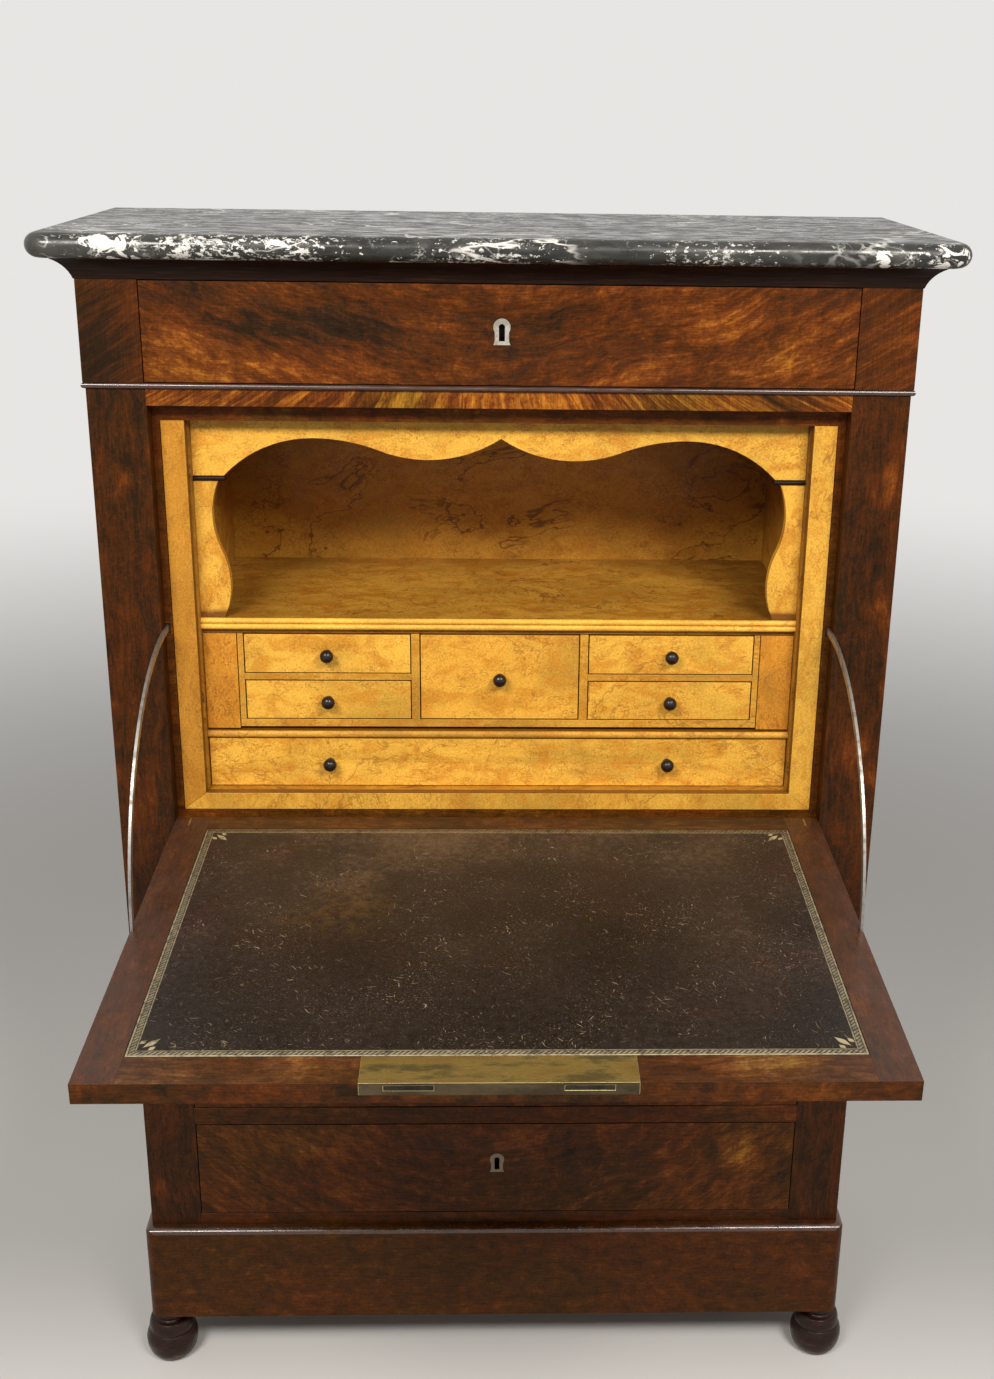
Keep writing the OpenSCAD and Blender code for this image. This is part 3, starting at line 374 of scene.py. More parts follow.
class Recipe:
    """A finish written as nested calls: each call adds a node and gives its output."""

    def __init__(self, name, kind="materials"):
        self.owner = getattr(bpy.data, kind).new(name)
        self.owner.use_nodes = True
        self.tree = self.owner.node_tree
        self.tree.nodes.clear()
        self.place = self.add("TexCoord", out="Object")

    def add(self, kind, inputs=None, out=0, **choices):
        """One output of a node with its choices made and its inputs linked or set."""
        node = self.tree.nodes.new("ShaderNode" + kind)
        for key, value in choices.items():
            setattr(node, key, value)
        for key, value in (inputs or {}).items():
            socket = node.inputs[key]
            if isinstance(value, Value):
                self.tree.links.new(value.socket, socket)
            elif socket.type == "RGBA" and len(value) == 3:
                socket.default_value = (*value, 1.0)
            else:
                socket.default_value = value
        return Value(self, node.outputs[out]) if node.outputs else None

    def mapped(self, scale=(1, 1, 1), turn=(0, 0, 0), shift=(0, 0, 0), source=None):
        """A place scaled, turned and shifted."""
        return self.add("Mapping", {"Vector": source or self.place, "Scale": scale, "Rotation": turn,
                                    "Location": shift})

    def noise(self, place, scale, detail=3.0, rough=0.5, warp=0.0, out=0):
        """Smooth noise from 0 to 1, or its three channels with out=1."""
        return self.add("TexNoise", {"Vector": place, "Scale": scale, "Detail": detail, "Roughness": rough,
                                     "Distortion": warp}, out)

    def cells(self, place, scale):
        """Distance to the nearest of scattered points."""
        return self.add("TexVoronoi", {"Vector": place, "Scale": scale}, "Distance")

    def maths(self, kind, a, b=0.0):
        """One sum of one or two numbers."""
        return self.add("Math", {0: a, 1: b}, operation=kind)

    def most(self, *values):
        """The highest of the values."""
        top = values[0]
        for value in values[1:]:
            top = self.maths("MAXIMUM", top, value)
        return top

    def vector(self, kind, a, b):
        """One sum of two vectors."""
        return self.add("VectorMath", {0: a, 1: b}, operation=kind)

    def scaled(self, vector, scale):
        """A vector made longer or shorter."""
        return self.add("VectorMath", {0: vector, "Scale": scale}, operation="SCALE")

    def apart(self, place):
        """X, Y and Z of a place."""
        node = self.add("SeparateXYZ", {0: place}).socket.node
        return [Value(self, socket) for socket in node.outputs]

    def together(self, x, y, z):
        """A place from its X, Y and Z."""
        return self.add("CombineXYZ", {0: x, 1: y, 2: z})

    def level(self, value, low, high, to_low=0.0, to_high=1.0):
        """The value between low and high, smoothly spread to the other two."""
        return self.add("MapRange", {0: value, 1: low, 2: high, 3: to_low, 4: to_high},
                        interpolation_type="SMOOTHSTEP")

    def spread(self, noise, low, high):
        """A noise spread from low to high over its usual range."""
        return self.level(noise, 0.3, 0.7, low, high)

    def thread(self, noise, width):
        """A thin soft line where a noise passes its middle."""
        return self.level(abs(noise - 0.5), 0.0, width, 1.0, 0.0)

    def blend(self, amount, a, b, kind="MIX"):
        """Colour a turned into b by the amount."""
        return self.add("Mix", {0: amount, 6: a, 7: b}, 2, data_type="RGBA", blend_type=kind)

    def tones(self, value, stops):
        """Colours along the value, from pairs of a position and a colour."""
        colours = self.add("ValToRGB", {0: value})
        ramp = colours.socket.node.color_ramp
        while len(ramp.elements) < len(stops):
            ramp.elements.new(1.0)
        for element, (at, shade) in zip(ramp.elements, stops):
            element.position = at
            element.color = (*shade, 1.0)
        return colours

    def shades(self, value, colour, *stops):
        """Shades of one colour along the value, from pairs of a position and a factor."""
        return self.tones(value, [(at, tinted(colour, factor)) for at, factor in stops])

    def shade(self, colour, noise, low, high):
        """The colour made darker and lighter, from low to high, by a noise."""
        grey = self.spread(noise, low, high)
        return self.blend(1.0, colour, self.together(grey, grey, grey), "MULTIPLY")

    def spots(self, axes, places, source=None):
        """Sum of soft spots, each a centre and a reach along the two axes, and a height."""
        total = 0.0
        for first, second, wide, high, height in places:
            scale, shift = [0.0, 0.0, 0.0], [0.0, 0.0, 0.0]
            for axis, centre, reach in zip(axes, (first, second), (wide, high)):
                scale[axis] = 1/reach
                shift[axis] = -centre/reach
            off = self.mapped(scale, shift=shift, source=source)
            far = self.add("VectorMath", {0: off}, "Value", operation="LENGTH")
            total = self.level(far, 0.0, 1.0, 1.0, 0.0)*height + total
        return total

    def relief(self, height, depth, under=None):
        """A normal that rises and sinks by the depth in metres; under is a coarser one below it."""
        coarser = {"Normal": under} if under else {}
        return self.add("Bump", {"Height": height, "Distance": depth, "Strength": 1.0, **coarser})

    def done(self, colour, rough, normal, gloss=0.5, metallic=0.0):
        """The shader, with numbers that are the same all over set on its own sockets."""
        shader = self.add("BsdfPrincipled", {"Base Color": colour, "Roughness": rough, "Normal": normal,
                                             "Specular IOR Level": gloss, "Metallic": metallic})
        self.add("OutputMaterial", {"Surface": shader}, is_active_output=True)
        return self.owner


def tinted(shade, factor):
    """A colour with its light scaled."""
    return tuple(min(1.0, c*factor) for c in shade)


def drawn_out(axis, share):
    """A scale that draws a pattern out along one axis."""
    scale = [1.0, 1.0, 1.0]
    scale[axis] = share
    return scale


OLIVE = (0.7, 1.0, 0.85)


def mahogany(name, grain=0, across=2, level=0.45, plume=0.0, fan=0.0, centre=0.0, stroke=1.0, burl=0.5,
             blotch=0.0, olive=0.5, hue=(1.0, 1.0, 1.0), seed=0.0, spots=(), gloss=0.1, rough=0.36):
    """Flame-figured mahogany.

    grain and across number the axes along and across the grain. The figure is the sum of a level, of
    broad, narrow and fine strokes, of burl mottling and of crackle; the strokes follow the height over
    a bowl that rises by plume times the distance from the centre to the power 1.6, or they spread by a
    share of fan for each metre past the centre. Blotches and chosen spots lighten it, hue turns all
    of it and an olive cast places of it, and fibres and short pores lie over it.
    """
    wood = settings()[0]
    r = Recipe("mahogany_" + name)
    shifted = r.mapped(shift=(seed, seed*0.7, seed*1.3))
    stir = r.scaled(r.vector("SUBTRACT", r.noise(shifted, 7.0, 2.0, out=1), (0.5, 0.5, 0.5)), 0.05)
    place = r.vector("ADD", shifted, stir)
    raw, stirred = r.apart(r.place), r.apart(place)
    past = raw[grain] - centre
    height = stirred[across] + past*fan*raw[across] - abs(past)**1.6*plume
    value = level
    layers = ((2.2, 5.0, 2.0, 0.8*stroke), (7.0, 12.0, 5.0, 1.1*stroke), (5.0, 50.0, 4.0, 0.7*stroke),
              (1.0, 60.0, 5.0, burl), (1.0, 300.0, 3.0, 0.35))
    for up, scale, detail, strength in layers:
        strokes = r.together(stirred[grain], height*up, stirred[3 - grain - across])
        value = (r.noise(strokes, scale, detail, 0.62, 0.4) - 0.5)*strength + value
    if blotch:
        oval = r.mapped(drawn_out(grain, 0.55), source=place)
        value = r.level(r.noise(oval, 17.0, 3.0, 0.55), 0.54, 0.74)*blotch + value
    if spots:
        value = r.spots((grain, across), spots, r.vector("ADD", r.place, stir)) + value
    body = r.tones(value, [(0.0, tinted(wood.dark, 0.45)), (0.22, wood.dark),
                           (0.44, tinted(wood.middle, 0.5)), (0.6, wood.middle),
                           (0.78, tinted(wood.light, 0.62)), (1.0, wood.light)])
    cast = r.level(r.noise(shifted, 5.0, 3.0), 0.42, 0.62, 0.0, olive)
    body = r.blend(cast, r.blend(1.0, body, hue, "MULTIPLY"), OLIVE, "MULTIPLY")
    lengthwise = drawn_out(grain, 0.05)
    body = r.shade(body, r.noise(r.mapped(lengthwise), 900.0, 2.0), 0.8, 1.2)
    pore = r.level(r.noise(r.mapped(lengthwise, shift=(3, 3, 3)), 1500.0, 1.0), 0.62, 0.72)
    body = r.blend(pore*0.4, body, tinted(wood.dark, 0.6))
    dull = r.spread(r.noise(shifted, 25.0, 4.0), rough - 0.08, rough + 0.1)
    normal = r.relief(pore, -0.06*MM, r.relief(r.noise(shifted, 18.0, 2.0), 0.35*MM))
    return r.done(body, dull, normal, gloss)


def moulding(name, tone=1.0, gloss=0.12, rough=0.4):
    """Dark stained mouldings: a nearly even brown black with long faint streaks."""
    wood = settings()[0]
    r = Recipe(name)
    streak = r.noise(r.mapped((4.0, 40.0, 90.0)), 6.0, 4.0, 0.6)
    body = r.shades(streak, wood.moulding, (0.3, 0.45*tone), (0.55, tone), (0.75, 2.4*tone))
    dull = r.spread(r.noise(r.place, 40.0, 4.0), rough - 0.06, rough + 0.08)
    return r.done(body, dull, r.relief(r.noise(r.place, 300.0, 3.0), 0.04*MM), gloss)


ORANGE = (0.84, 0.62, 0.42)


def maple(name, grain=0, tone=1.0, warm=0.0, veins=0.5, mottle=1.0, seed=0.0, painted_shade=()):
    """Golden figured maple.

    Cloudy lights, orange mottling, short crooked wisps, small eyes and thin brown veins; warm turns
    the body colour to orange, and the soft spots given last are darkened with painted shade.
    """
    wood = settings()[0]
    r = Recipe("maple_" + name)
    shifted = r.mapped(shift=(seed, seed*1.7, seed*0.6))
    along = r.mapped(drawn_out(grain, 0.55), source=shifted)
    orange = tuple(c*share for c, share in zip(wood.maple, ORANGE))
    base = tuple(a*(1 - warm) + b*warm for a, b in zip(wood.maple, orange))
    figure = tinted(wood.maple_dark, tone)
    body = r.shades(r.noise(along, 15.0, 4.0, 0.6, 0.5), base, (0.3, 0.7*tone), (0.5, tone), (0.7, 1.14*tone))
    blush = r.level(r.noise(along, 48.0, 4.0, 0.62, 0.6), 0.45, 0.64, 0.0, 0.7*mottle)
    body = r.blend(blush, body, tinted(orange, 0.92*tone))

    def crooked(scale, width, warp, low, high):
        line = r.thread(r.noise(along, scale, 4.0, 0.62, warp), width)
        return line*r.level(r.noise(shifted, scale*0.4, 2.0), low, high)

    wisp = crooked(105.0, 0.035, 1.4, 0.44, 0.58)
    body = r.blend(wisp*(0.75*mottle), body, tinted(figure, 1.5))
    vein = crooked(15.0, 0.008 + 0.01*veins, 0.6, 0.48 - 0.06*veins, 0.58 - 0.06*veins)
    body = r.blend(vein*veins, body, figure)
    eye = r.level(r.cells(shifted, 170.0), 0.05, 0.24, 1.0, 0.0)
    eye = eye*r.level(r.noise(shifted, 30.0, 2.0), 0.5, 0.62)
    body = r.blend(eye*(0.6*mottle), body, figure)
    # Soft spots darkened with painted shade, broken up by a cloud
    if painted_shade:
        cloud = r.noise(shifted, 34.0, 4.0, 0.62, 0.5)
        body = r.blend(r.spots((0, 2), painted_shade)*r.spread(cloud, 0.55, 1.0), body, tinted(figure, 0.8))
    body = r.shade(body, r.noise(shifted, 420.0, 3.0, 0.7), 0.8, 1.16)
    dull = r.spread(r.noise(shifted, 60.0, 3.0), 0.34, 0.48)
    return r.done(body, dull, r.relief(r.noise(shifted, 40.0, 3.0), 0.12*MM), 0.25)


def plain_wood(name, grain=0, tone=1.0):
    """Sawn case wood: open grain lines, dust and dry, unpolished pores."""
    wood = settings()[0]
    r = Recipe(name)
    long_way = drawn_out(grain, 0.06)
    line = r.noise(r.mapped(long_way), 90.0, 5.0, 0.65, 0.5)
    body = r.shades(line, wood.plain, (0.3, 0.45*tone), (0.5, 0.85*tone), (0.7, 1.2*tone))
    stain = r.noise(r.place, 6.0, 4.0)
    body = r.shade(body, stain, 0.7, 1.12)
    pore = r.level(r.noise(r.mapped(long_way), 1100.0, 1.0), 0.58, 0.7)
    body = r.blend(pore*0.4, body, tinted(wood.plain, 0.3))
    return r.done(body, r.spread(stain, 0.62, 0.8), r.relief(pore, -0.1*MM))


def black_wood():
    """Turned wood stained black, polished, with faint rubbed places."""
    wood = settings()[0]
    r = Recipe("black_wood")
    rubbed = r.level(r.noise(r.place, 220.0, 4.0), 0.55, 0.75)
    body = r.blend(rubbed, wood.ebony, tinted(wood.moulding, 1.6))
    dull = r.spread(r.noise(r.place, 150.0, 3.0), 0.22, 0.38)
    return r.done(body, dull, r.relief(r.noise(r.place, 500.0, 2.0), 0.03*MM), 0.35)


def foot_wood():
    """Dark turned feet: brown black, scuffed paler near the floor."""
    wood = settings()[0]
    r = Recipe("foot_wood")
    height = r.apart(r.place)[2]
    grainy = r.noise(r.mapped((0.25, 0.25, 1.0)), 160.0, 4.0, 0.6)
    body = r.shades(grainy, wood.moulding, (0.3, 0.7), (0.55, 1.4), (0.8, 3.0))
    scuff = r.level(height, 0.0, 0.03, 1.0, 0.0)*r.level(grainy, 0.5, 0.7)
    body = r.blend(scuff, body, tinted(wood.plain, 0.6))
    dull = r.spread(r.noise(r.place, 90.0, 3.0), 0.24, 0.4)
    return r.done(body, dull, r.relief(r.noise(r.place, 400.0, 2.0), 0.05*MM), 0.22)


# The marble's spots along its front edge: middle along X, reach along X and Y, and height
SPLASHES = ((-0.4, 0.07, 0.045, 0.15), (-0.36, 0.02, 0.03, -0.2), (-0.23, 0.07, 0.05, 0.13),
            (-0.31, 0.05, 0.05, 0.08), (-0.12, 0.05, 0.05, 0.06), (0.398, 0.014, 0.05, 0.28),
            (0.465, 0.035, 0.06, 0.16), (0.24, 0.12, 0.06, -0.2), (-0.47, 0.035, 0.06, -0.3))
CROWDS = ((-0.31, 0.1, 0.06, 0.2), (-0.2, 0.1, 0.05, 0.16), (0.0, 0.14, 0.04, 0.16),
          (0.22, 0.14, 0.04, 0.14), (0.44, 0.06, 0.04, 0.13))
PLAIN_END = ((-0.49, 0.045, 0.08, 1.2),)


def marble(front):
    """Greenish black marble.

    White splashes and flecks crowd in patches, spots along the front edge hold the largest, and bold
    veins, nets of thin ones and long pale streaks run between them.
    """
    trim = settings()[1]
    r = Recipe("marble")
    cloud = r.noise(r.mapped((0.5, 1.0, 1.3)), 16.0, 5.0, 0.62, 0.4)
    body = r.shades(cloud, trim.stone, (0.32, 0.4), (0.5, 0.8), (0.62, 1.8), (0.78, 4.2))

    def at_front(places):
        return r.spots((0, 1), [(x, front, wide, deep, height) for x, wide, deep, height in places])

    def veins(scale, warp, low, high, seed, width):
        line = r.noise(r.mapped((0.6, 1.0, 1.0), shift=(seed, seed, seed)), scale, 4.0, 0.6, warp)
        where = r.noise(r.mapped(shift=(0, seed, 0)), scale*0.45, 2.0)
        return r.thread(line, width)*r.level(where, low, high)

    crowd = r.level(r.noise(r.mapped((0.5, 1, 1), shift=(1.3, 0, 0)), 8.0, 2.0), 0.4, 0.65, -0.06, 0.04)
    splash = r.noise(r.mapped((0.7, 1.0, 1.0)), 75.0, 4.0, 0.62, 1.2) + at_front(SPLASHES) + crowd
    fleck = r.noise(r.mapped((0.7, 1.0, 1.0)), 190.0, 4.0, 0.7) + crowd + at_front(CROWDS)
    white = r.most(r.level(splash, 0.62, 0.66), r.level(fleck, 0.64, 0.69)*0.85,
                   veins(9.0, 0.8, 0.46, 0.58, 2.0, 0.02),
                   veins(28.0, 0.6, 0.5, 0.64, 5.0, 0.02)*0.7,
                   veins(70.0, 0.3, 0.5, 0.64, 9.0, 0.025)*0.4)
    body = r.blend(white - at_front(PLAIN_END), body, trim.vein)
    dull = r.level(r.noise(r.mapped((0.4, 1.0, 1.0)), 90.0, 5.0, 0.7), 0.35, 0.65, 0.14, 0.5)
    return r.done(body, dull, r.relief(r.noise(r.place, 120.0, 3.0), 0.04*MM), 0.4)


# The leather's colours, from worn to bright, and the tint of its redder places
RUBBED, TAN = (0.09, 0.056, 0.032), (0.15, 0.098, 0.055)
OLD_STAIN, SCRATCHED = (0.12, 0.058, 0.012), (0.42, 0.31, 0.2)
REDDER = (1.5, 0.75, 0.8)
# Its spots: lighter and darker places, partly a painted sheen of reflected light and partly its own
# mottling, then stains and rubbed places: middle and reach across and along the sheet, and height
SHEEN_AND_MOTTLE = ((0.43, 0.2, 0.2, 0.2, -0.2), (0.6, 0.27, 0.1, 0.1, 0.12), (0.3, 0.42, 0.6, 0.28, -0.24),
          (0.3, 0.0, 0.6, 0.22, 0.24))
STAINS = ((0.185, 0.175, 0.065, 0.09, 1.0), (0.13, 0.2, 0.05, 0.05, 0.5))
RUBS = ((0.385, 0.05, 0.035, 0.06, 0.3), (0.58, 0.27, 0.12, 0.1, 0.12))
# Its scratches: direction, scale and strength
SCRATCHES = ((0.2, 34.0, 0.8), (-0.9, 30.0, 0.9), (1.5, 40.0, 1.0), (2.4, 26.0, 0.8), (0.9, 44.0, 0.7))
# Its tooling: distances from the edge, the beads' step, and each petal's ends, half width and offset
OUTER_LINE, BEADS, INNER_LINE = (0.9*MM, 2.3*MM), (3.2*MM, 7.6*MM), (8.6*MM, 9.6*MM)
BEAD_STEP = 5*MM
PETALS = ((18*MM, 42*MM, 3.4*MM, 0.0), (20*MM, 31*MM, 2.6*MM, 7*MM))


def leather(size):
    """Worn writing leather with a tooled border.

    The sheet's own map is in metres. The border is a band of beads between two lines at a set distance
    from the edge, and each corner holds a leaf with two petals on its diagonal.
    """
    trim = settings()[1]
    r = Recipe("leather")
    sheet = r.add("UVMap", uv_map="sheet")
    u, v, _ = r.apart(sheet)
    side = r.maths("MINIMUM", u, size[0] - u)
    end = r.maths("MINIMUM", v, size[1] - v)
    rim = r.maths("MINIMUM", side, end)

    mottle = r.noise(sheet, 120.0, 5.0, 0.7)
    value = (r.noise(sheet, 6.0, 5.0, 0.62) - 0.5)*1.1 + 0.4
    # Lighter and darker places: partly a painted sheen of reflected light, partly mottling
    value = (mottle - 0.5)*0.8 + value + r.spots((0, 1), SHEEN_AND_MOTTLE, sheet)
    body = r.tones(value, [(0.0, tinted(trim.leather, 0.12)), (0.3, tinted(trim.leather, 0.5)),
                           (0.5, trim.leather), (0.75, RUBBED), (1.0, TAN)])
    red = r.noise(r.mapped(shift=(0.4, 0.9, 0), source=sheet), 6.5, 3.0)
    body = r.blend(r.level(red, 0.5, 0.68, 0.0, 0.5), body, REDDER, "MULTIPLY")
    stain = r.spots((0, 1), STAINS, sheet)*r.level(r.noise(sheet, 60.0, 5.0, 0.7), 0.36, 0.7)
    body = r.blend(stain*0.6, body, OLD_STAIN)

    bent = r.vector("ADD", sheet, r.scaled(r.noise(sheet, 45.0, 2.0, out=1), 0.02))

    def scratches(turn, scale, share):
        turned = r.mapped(turn=(0, 0, turn), shift=(turn, 2*turn, 0), source=bent)
        line = r.level(r.cells(r.mapped((1.0, 9.0, 1.0), source=turned), scale), 0.06, 0.15, 1.0, 0.0)
        return line*r.level(r.noise(turned, 60.0, 2.0), 0.5, 0.58, 0.0, share)

    fleck = r.level(r.cells(sheet, 90.0), 0.04, 0.09, 1.0, 0.0)
    grit = r.level(r.noise(sheet, 420.0, 3.0, 0.7), 0.56, 0.7)
    marks = r.most(*(scratches(*scratch) for scratch in SCRATCHES), grit*0.35, fleck*0.7)
    rubbed = r.noise(sheet, 13.0, 3.0) + r.spots((0, 1), RUBS, sheet)
    body = r.blend(marks*r.level(rubbed, 0.42, 0.66, 0.25, 1.0), body, SCRATCHED)

    def between(low, high, soft=0.3*MM):
        return r.level(rim, low - soft, low)*r.level(rim, high, high + soft, 1.0, 0.0)

    bead = r.level(r.maths("SINE", (u + v)*(2*math.pi/BEAD_STEP)), -0.4, 0.5, 0.12, 0.62)
    diagonal = (side + end)*math.sqrt(0.5)
    aside = abs(side - end)*math.sqrt(0.5)
    petals = []
    for first, last, wide, off in PETALS:
        arch = r.maths("SINE", r.level(diagonal, first, last, 0.0, math.pi))*wide
        petals.append(r.level(arch - abs(aside - off), 0.0, 0.5*MM))
    gilt = r.most(between(*BEADS)*bead, between(*OUTER_LINE), between(*INNER_LINE)*0.6, *petals)
    left = r.level(r.noise(sheet, 110.0, 4.0, 0.7), 0.34, 0.56, 0.3, 1.0)
    body = r.blend(gilt*left, body, trim.gilding)

    normal = r.relief(r.cells(sheet, 900.0), 0.1*MM, r.relief(r.noise(sheet, 45.0, 3.0), 0.3*MM))
    return r.done(body, r.spread(mottle, 0.4, 0.62), r.relief(gilt, -0.12*MM, normal), 0.35)


def metal(name, base, dark, rough=0.3, tarnish=0.6, scale=60.0, stretch=1.0):
    """Old metal: clean places, cloudy tarnish drawn out along X by stretch, and fine scratches."""
    r = Recipe(name)
    cloud = r.noise(r.mapped((1/stretch, 1.0, 1.0)), scale, 5.0, 0.65)
    body = r.blend(r.level(cloud, 0.42, 0.62, 0.0, tarnish), base, dark)
    scratch = r.noise(r.mapped((1.0, 6.0, 6.0)), 500.0, 3.0)
    body = r.shade(body, scratch, 0.88, 1.12)
    dull = r.level(cloud, 0.35, 0.65, rough, rough + 0.25)
    return r.done(body, dull, r.relief(scratch, 0.02*MM), metallic=0.9)


def pale_ground():
    """The pale floor: it takes shadows, and far out it turns into the background."""
    pale = settings()[2].pale
    r = Recipe("pale ground")
    far = r.add("VectorMath", {0: r.mapped((1, 1, 0))}, "Value", operation="LENGTH")
    seen = r.most(r.add("LightPath", out="Is Camera Ray"), r.add("LightPath", out="Is Glossy Ray"))
    matt = r.add("BsdfDiffuse", {"Color": pale})
    lit = r.add("Emission", {"Color": pale, "Strength": 1.0})
    both = r.add("MixShader", {0: r.level(far, 1.4, 5.5)*seen, 1: matt, 2: lit})
    r.add("OutputMaterial", {"Surface": both})
    return r.owner


# Operators


class SECRETARY_OT_stage(bpy.types.Operator):
    """Camera at the photograph's viewpoint, two soft lamps, floor and background"""

    bl_idname = "secretary.stage"
    bl_label = "Stage"

    # In pixels of the photograph: the focal length, and the point on which the view's axis falls
    FOCAL = 1583.29
    VIEW_AXIS = (543.30, 646.0)
    LAMP_ASIDE, LAMP_FRONT, LAMP_HEIGHT = 1.1, -1.9, 2.75
    LAMP_WIDTH, LAMP_DEPTH = 1.2, 0.7
    LAMP_COLOUR = (1.0, 0.955, 0.9)
    LAMP_AIM = Vector((0.0, 0.1, 0.75))
    FLOOR_REACH, FLOOR_RINGS, FLOOR_SIDES = 9.0, 16, 48
    FLOOR_DROP = 0.2*MM

    def execute(self, context):
        stage = settings()[2]
        scene = context.scene
        camera = placed("camera", bpy.data.cameras.new("camera"))
        lens = camera.data
        lens.sensor_width = 36.0
        lens.lens = self.FOCAL/PHOTO[1]*lens.sensor_width
        lens.shift_x = (PHOTO[0]/2 - self.VIEW_AXIS[0])/PHOTO[1]
        lens.shift_y = (self.VIEW_AXIS[1] - PHOTO[1]/2)/PHOTO[1]
        camera.matrix_world = (Matrix.Translation((stage.camera_x, stage.camera_y, stage.camera_z))
                               @ Matrix.Rotation(stage.turn, 4, "Z")
                               @ Matrix.Rotation(math.pi/2 - stage.dip, 4, "X")
                               @ Matrix.Rotation(stage.roll, 4, "Z"))
        scene.camera = camera
        for name, side in (("left lamp", -1), ("right lamp", 1)):
            lamp = placed(name, bpy.data.lights.new(name, "AREA"))
            lamp.data.shape = "ELLIPSE"
            lamp.data.size = self.LAMP_WIDTH
            lamp.data.size_y = self.LAMP_DEPTH
            lamp.data.energy = stage.lamp
            lamp.data.color = self.LAMP_COLOUR
            lamp.location = (side*self.LAMP_ASIDE, self.LAMP_FRONT, self.LAMP_HEIGHT)
            aim = self.LAMP_AIM - lamp.location
            lamp.rotation_euler = aim.to_track_quat("-Z", "Y").to_euler()
        scene.world = self.background(stage)
        self.floor()
        scene.view_settings.view_transform = "Standard"
        return {"FINISHED"}

    def background(self, stage):
        """Pale where it is seen, also mirrored or through glass, and an even fill elsewhere."""
        r = Recipe("studio", "worlds")
        seen = r.most(*(r.add("LightPath", out=ray) for ray in
                        ("Is Camera Ray", "Is Transmission Ray", "Is Glossy Ray")))
        bright = r.add("Mix", {0: seen, 2: stage.fill, 3: 1.0})
        pale = r.add("Background", {"Color": stage.pale, "Strength": bright})
        r.add("OutputWorld", {"Surface": pale})
        return r.owner

    def floor(self):
        """A round floor whose rings lie closer together near the middle."""
        radius = self.FLOOR_REACH*np.linspace(0, 1, self.FLOOR_RINGS)**2
        profile = np.stack([radius, np.zeros(self.FLOOR_RINGS)], axis=1)
        points = lathed(profile, (0, 0, -self.FLOOR_DROP), self.FLOOR_SIDES)
        floor = new_piece("floor", points, grid_faces(self.FLOOR_RINGS, self.FLOOR_SIDES, around=True))
        paint(floor, pale_ground())


class SECRETARY_OT_marble(bpy.types.Operator):
    """Marble slab: a rounded edge carried round the front corners and down both sides"""

    bl_idname = "secretary.marble"
    bl_label = "Marble top"

    CORNER = 26*MM
    CORNER_STEPS = 13
    # Angles at which the edge's half circle has its points, in degrees: closer near the flat faces
    EDGE = (-90, -84, -72, -60, -45, -30, -15, 0, 15, 30, 45, 60, 72, 84, 90)

    def execute(self, context):
        low, high = (np.array(c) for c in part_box("marble_top"))
        half, front, back = high[0], low[1], high[1]
        bull = (high[2] - low[2])/2
        turn = np.linspace(math.pi, 1.5*math.pi, self.CORNER_STEPS)
        x = np.concatenate([[-half], self.CORNER - half + self.CORNER*np.cos(turn)])
        y = np.concatenate([[back], front + self.CORNER + self.CORNER*np.sin(turn)])
        out = np.concatenate([[[-1.0, 0.0]], np.stack([np.cos(turn), np.sin(turn)], axis=1)])
        tilt = np.radians(self.EDGE)
        inset = bull*(1 - np.cos(tilt))
        left = np.stack([x[:, None] - out[:, :1]*inset, y[:, None] - out[:, 1:]*inset,
                         np.broadcast_to(low[2] + bull + bull*np.sin(tilt), (len(x), len(tilt)))], axis=-1)
        right = left[:, ::-1]*[-1, 1, 1]
        ring = np.concatenate([left, right], axis=1)
        rows, count = ring.shape[:2]
        faces = grid_faces(rows, count, around=True).tolist()
        for row, way in ((0, 1), (rows - 1, -1)):
            start, end = row*count, (row + 1)*count - 1
            for i in range(len(tilt) - 1):
                faces.append([start + i, start + i + 1, end - i - 1, end - i][::way])
        slab = new_piece("marble_slab", ring, faces, sharp=40)
        stand_in(slab, "marble_top")
        paint(slab, marble(front))
        return {"FINISHED"}


# A face whose normal has more than this along an axis looks that way, to the front or the back
FACING = 0.5


